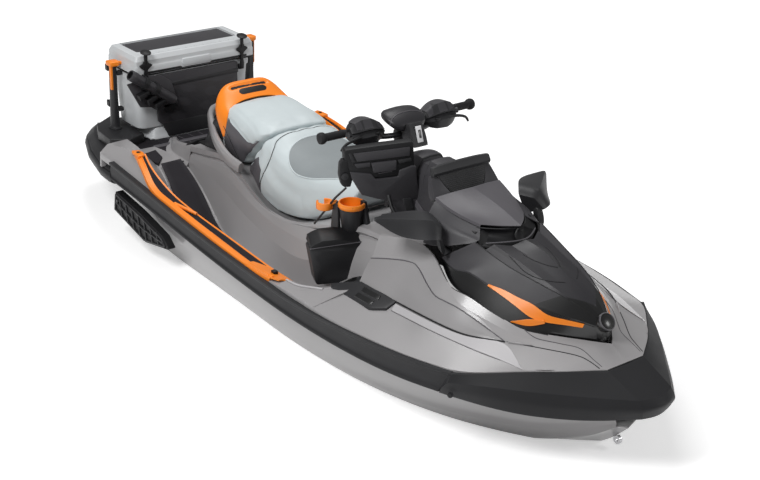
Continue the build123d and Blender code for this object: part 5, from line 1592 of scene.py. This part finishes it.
def build_side_gear():
    """The cup holder, the rod clamp, their struts, and the black side box with its stepped lid."""
    cup = lathe("cup_body", [(0, -.124), (.036, -.122), (.039, -.114), (.052, -.01), (.052, 0), (.047, 0),
                             (.046, -.01), (.034, -.112), (0, -.112)], (2.198, -.3, .872), SATIN, steps=48)
    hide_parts("cup_holder")
    rim = lathe("cup_ring", [(.0535, -.014), (.0565, -.01), (.0575, .002), (.055, .008), (.049, .009),
                             (.047, .003), (.045, -.016), (.042, -.03), (0, -.032)], (2.198, -.3, .872),
                ORANGE, steps=48)
    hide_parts("cup_rim")
    # Small dark plugs for the holes in the cup: painted shade in the holes.
    for name, spot, axis in (("", (2.226, -.349, .872), (.5, -.86, 0)),
                             ("_b", (2.2465, -.33, .872), (.85, -.53, 0))):
        lathe("cup_holes" + name, [(0, 0), (.0035, 0), (.0045, -.0006), (0, -.003)], spot, TRIM, axis,
              steps=16)
    open_ring = []
    for radius, turns in ((.036, range(15)), (.027, range(14, -1, -1))):
        for step in turns:
            turn = math.radians(150 - 300 * step / 14)
            open_ring.append((2.104 + radius * math.cos(turn), -.368 + radius * math.sin(turn)))
    clamp = prism("rod_clamp", open_ring, .836, .868, ORANGE, axis="height", smooth=60)
    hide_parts("rod_ring")
    tube("clamp_stub", [(2.124, -.358, .86), (2.142, -.352, .868), (2.156, -.346, .88)], .007, ORANGE)
    lathe("clamp_knob", [(0, 0), (.008, 0), (.009, .002), (.009, .012), (0, .014)], (2.128, -.352, .848),
          ORANGE, axis=(.3, .9, .1), steps=20)
    strut = prism("gear_post", [(2.118, .64), (2.15, .64), (2.178, .77), (2.168, .88), (2.138, .88),
                                (2.126, .77)], -.352, -.338, SATIN)
    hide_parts("accessory_brackets")
    prism("gear_post_in", [(2.232, .7), (2.29, .7), (2.262, .8), (2.236, .885), (2.212, .885), (2.216, .8)],
          -.268, -.25, SATIN)
    tube("gear_brace", [(2.142, -.344, .852), (2.17, -.33, .82), (2.185, -.318, .79)], .009, SATIN)
    tube("gear_rod", [(2.236, -.36, .968), (2.165, -.362, .9), (2.09, -.362, .812), (2.025, -.362, .737)],
         .0045, SATIN, order=2)
    tube("gear_strap", [(2.33, -.215, .935), (2.37, -.225, .89), (2.44, -.235, .862)], .008, TRIM, order=2)
    box_at = facing((2.22, -.475, .565))
    front = [(-.036, .16), (-.041, .15), (-.014, .004), (-.006, -.004), (.15, -.004), (.158, .002),
             (.171, .09), (.181, .172), (.176, .176)]
    back = [(u + (.046 if u > .1 else 0), v) for u, v in front]
    layers = ((front, 0), (front, .006), (back, .06), (back, .085))
    loops = [[box_at(u, v, d) for u, v in line] for line, d in layers]
    box = rings("side_box_body", loops, SATIN, .85, ends=.9)
    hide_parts("side_box")
    lid = [(-.04, .163), (-.034, .192), (-.02, .199), (.01, .212), (.075, .214), (.15, .196), (.186, .188),
           (.186, .174)]
    deep = [(u + (.044 if u > .1 else 0), v) for u, v in lid]
    layers = ((lid, -.004, .02), (lid, .03, .008), (deep, .07, 0), (deep, .088, .002))
    loops = [[box_at(u, v - drop, d) for u, v in line] for line, d, drop in layers]
    for ring, d in zip(loops, (-.004, .03)):
        ring[0] = box_at(*lid[0], d)
    rings("side_box_lid", loops, TRIM, .7, ends=.8)
    tube("side_box_seam", [box_at(-.039, .161, -.003), box_at(.075, .169, -.003),
                           box_at(.182, .175, -.003)], .0022, SLATE, order=2)


def build_gunwale_front():
    """The gunwale from the footwell to the bow cleat, a painted highlight along its ridge, and the cleat
    plate with two wells in painted shade.
    """
    outer = [(2.1, .603, .545), (2.2, .603, .552), (2.36, .602, .555)]
    ridge = [(2.1, .552, .556), (2.18, .562, .565), (2.26, .542, .584), (2.33, .533, .602),
             (2.44, .5, .628)]
    shelf = [(2.08, .52, .54), (2.18, .52, .556), (2.26, .49, .578), (2.33, .47, .6), (2.44, .455, .645)]
    lip = offset(shelf, -.004, -.06)
    skin("gunwale_front", [offset(outer, .004, -.03), outer, ridge, shelf, lip], 10, DECKCOAT,
         [1, 1, 1, .9, 1], out=(0, 1, 1), smooth=12)
    # A lighter bar along the ridge: painted highlight.
    tube("gunwale_ridge", offset(ridge[:4], .002, .0015), .0045, LIT_GELCOAT, mirror=True)
    upper = [(2.335, .5, .612), (2.461, .447, .658), (2.56, .436, .652), (2.659, .425, .643)]
    lower = [(2.356, .514, .61), (2.47, .505, .608), (2.587, .496, .603), (2.644, .458, .616)]
    lifted = [offset(row, 0, .01) for row in blended(upper, lower, 16, 8)]
    plate = laid_plate("cleat_plates", lifted, .022, SATIN)
    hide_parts("cleats")
    # The wells are darker gloss sheets laid on the plate: their darker colour is painted shade in the
    # recesses.
    wells = (([(2.495, .454, .647), (2.589, .444, .643)], [(2.498, .472, .633), (2.593, .46, .629)]),
             ([(2.493, .48, .628), (2.582, .468, .624)], [(2.487, .497, .615), (2.577, .487, .61)]))
    for index, (top, low) in enumerate(wells):
        laid_plate("cleat_well_%d" % index, [offset(row, 0, .0125) for row in blended(top, low, 4, 2)],
                   .006, GLOSS)


def laid_plate(name, rows, depth, surface):
    """A plate with its top through rows of points, a given depth thick, the same on both sides."""
    bm = bmesh.new()
    for side, half in halves(bm, BOTH):
        top, low = ([[half.verts.new(point) for point in placed(offset(row, 0, -sink), side)]
                     for row in rows] for sink in (0, depth))
        for layer in (top, low):
            for near, far in zip(layer, layer[1:]):
                for a, b, c, d in zip(near, near[1:], far[1:], far):
                    half.faces.new((a, b, c, d))
        loop = [(0, j) for j in range(len(rows[0]))] + [(i, len(rows[0]) - 1) for i in range(1, len(rows))]
        loop += [(len(rows) - 1, j) for j in range(len(rows[0]) - 2, -1, -1)]
        loop += [(i, 0) for i in range(len(rows) - 2, 0, -1)]
        for (a, b), (c, d) in zip(loop, loop[1:] + loop[:1]):
            half.faces.new((top[a][b], top[c][d], low[c][d], low[a][b]))
        bmesh.ops.recalc_face_normals(half, faces=half.faces)
    return settle(name, bm, surface, bevel=.002)


def build_sponsons():
    """The stabilisers on the hull's sides: a slotted plate with ribs, and a bolt at its aft end."""
    outline = [(.724, .493), (.73, .497), (.966, .465), (1.169, .421), (1.222, .378), (1.216, .37),
               (1.004, .33), (.712, .39), (.706, .398)]
    base = prism("sponson_plates", outline, .572, .612, TRIM, mirror=True, bevel=.006)
    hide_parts("sponsons")
    frame_line = [(.734, .484), (.964, .452), (1.16, .412), (1.196, .378), (1.002, .342), (.72, .402)]
    for a, b in zip(frame_line, frame_line[1:] + frame_line[:1]):
        tube("sponson_rim_%d" % round(a[0] * 1000), [(a[0], .614, a[1]), (b[0], .614, b[1])], .0055, SATIN,
             order=2, mirror=True)
    for index in range(7):
        station = .772 + index * .058
        top = .483 - (station - .69) * .128
        low = .402 - (station - .68) * .19 if station < 1.0 else .345 + (station - 1.0) * .16
        tube("sponson_rib_%d" % index, [(station, .615, top), (station + .018, .615, low)], .0045, SATIN,
             order=2, mirror=True)
    tube("sponson_bar", [(.73, .616, .444), (.98, .616, .398), (1.18, .616, .393)], .005, SATIN,
         mirror=True, order=2)
    lathe("sponson_bolts", [(0, 0), (.007, 0), (.008, -.002), (.008, -.01)], (.752, .622, .456), STEEL,
          axis=(0, 1, 0), mirror=True, steps=20)


BUILDERS = (build_hull, build_rails, build_bumper, build_foredeck, build_front_hood, build_centre_panel,
            build_visor, build_mirrors, build_deck, build_mats, build_footrests, build_seats, build_handle,
            build_rail, build_platform, build_cooler, build_rack, build_bars, build_column, build_display,
            build_side_gear, build_gunwale_front, build_sponsons)


# ---------------------------------------------------------------- stage

FADE_START, FADE_END = 2.2, 6.0
FLOOR_REACH = 60
LAMPS = (("key", (.8, -3.6, 4.4), 170, 1.6), ("fill", (5.0, 3.0, 3.0), 60, 1.5),
         ("top", (-1.5, .8, 5.0), 110, 2.4))


def emit_in_view(material, colour, strength, far):
    """The surface shows plain pale to the camera, glass and metal, and still takes the object's shadow.

    The glow grows from strength to far with the distance from the object, where the lamps fade.
    """
    tree = material.node_tree
    shader = tree.nodes["Principled BSDF"]
    for socket, value in (("Base Color", colour), ("Roughness", .9), ("Emission Color", colour)):
        shader.inputs[socket].default_value = value
    path = noded(tree, "LightPath")
    seen = noded(tree, "Math")
    seen.operation = "ADD"
    glow = noded(tree, "Math")
    glow.operation = "MULTIPLY"
    place = noded(tree, "TexCoord")
    reach = noded(tree, "VectorMath")
    reach.operation = "LENGTH"
    level = noded(tree, "MapRange", From_Min=FADE_START, From_Max=FADE_END, To_Min=strength, To_Max=far)
    wired(tree, (path, "Is Camera Ray", seen, 0), (path, "Is Glossy Ray", seen, 1),
          (seen, "Value", glow, 0), (place, "Object", reach, 0), (reach, "Value", level, "Value"),
          (level, "Result", glow, 1), (glow, "Value", shader, "Emission Strength"))


def set_stage():
    """A pale floor at the waterline, soft overhead light and a pale world."""
    floor_mesh = bpy.data.meshes.new("floor")
    floor_mesh.from_pydata([(FLOOR_REACH * a, FLOOR_REACH * b, 0)
                            for a, b in ((-1, -1), (1, -1), (1, 1), (-1, 1))], [], [(0, 1, 2, 3)])
    floor = bpy.data.objects.new("floor", floor_mesh)
    scene.collection.objects.link(floor)
    pale = bpy.data.materials.new("floor_pale")
    pale.use_nodes = True
    emit_in_view(pale, (.9, .9, .9, 1), .5, .9)
    floor_mesh.materials.append(pale)
    world = bpy.data.worlds.new("studio")
    scene.world = world
    world.use_nodes = True
    tree = world.node_tree
    sky = tree.nodes["Background"]
    sky.inputs["Color"].default_value = (1, 1, 1, 1)
    level = noded(tree, "MapRange", To_Min=.26, To_Max=1)
    wired(tree, (noded(tree, "LightPath"), "Is Camera Ray", level, "Value"),
          (level, "Result", sky, "Strength"))
    for name, place, energy, size in LAMPS:
        lamp = bpy.data.lights.new(name, "AREA")
        lamp.energy = energy
        lamp.size = size
        light = bpy.data.objects.new(name, lamp)
        light.location = place
        aim = Vector((0, 0, .3)) - Vector(place)
        light.rotation_euler = aim.to_track_quat("-Z", "Y").to_euler()
        scene.collection.objects.link(light)


def set_camera():
    """The view from ahead on the starboard bow, a little above."""
    turn, rise, roll = math.radians(51.46), math.radians(24.19), math.radians(1.85)
    back = Vector((math.sin(turn) * math.cos(rise), -math.cos(turn) * math.cos(rise), math.sin(rise)))
    right = Vector((0, 0, 1)).cross(back).normalized()
    up = back.cross(right)
    across = right * math.cos(roll) + up * math.sin(roll)
    over = up * math.cos(roll) - right * math.sin(roll)
    pose = Matrix((across, over, back)).transposed().to_4x4()
    pose.translation = (4.59, -3.525, 2.857)
    lens = bpy.data.cameras.new("view")
    lens.sensor_width = 36
    lens.lens = 66.87
    camera = bpy.data.objects.new("view", lens)
    camera.matrix_world = pose
    scene.collection.objects.link(camera)
    scene.camera = camera


set_camera()
set_stage()
scene.view_settings.view_transform = "Standard"
dress_nodes()
for build in BUILDERS:
    build()
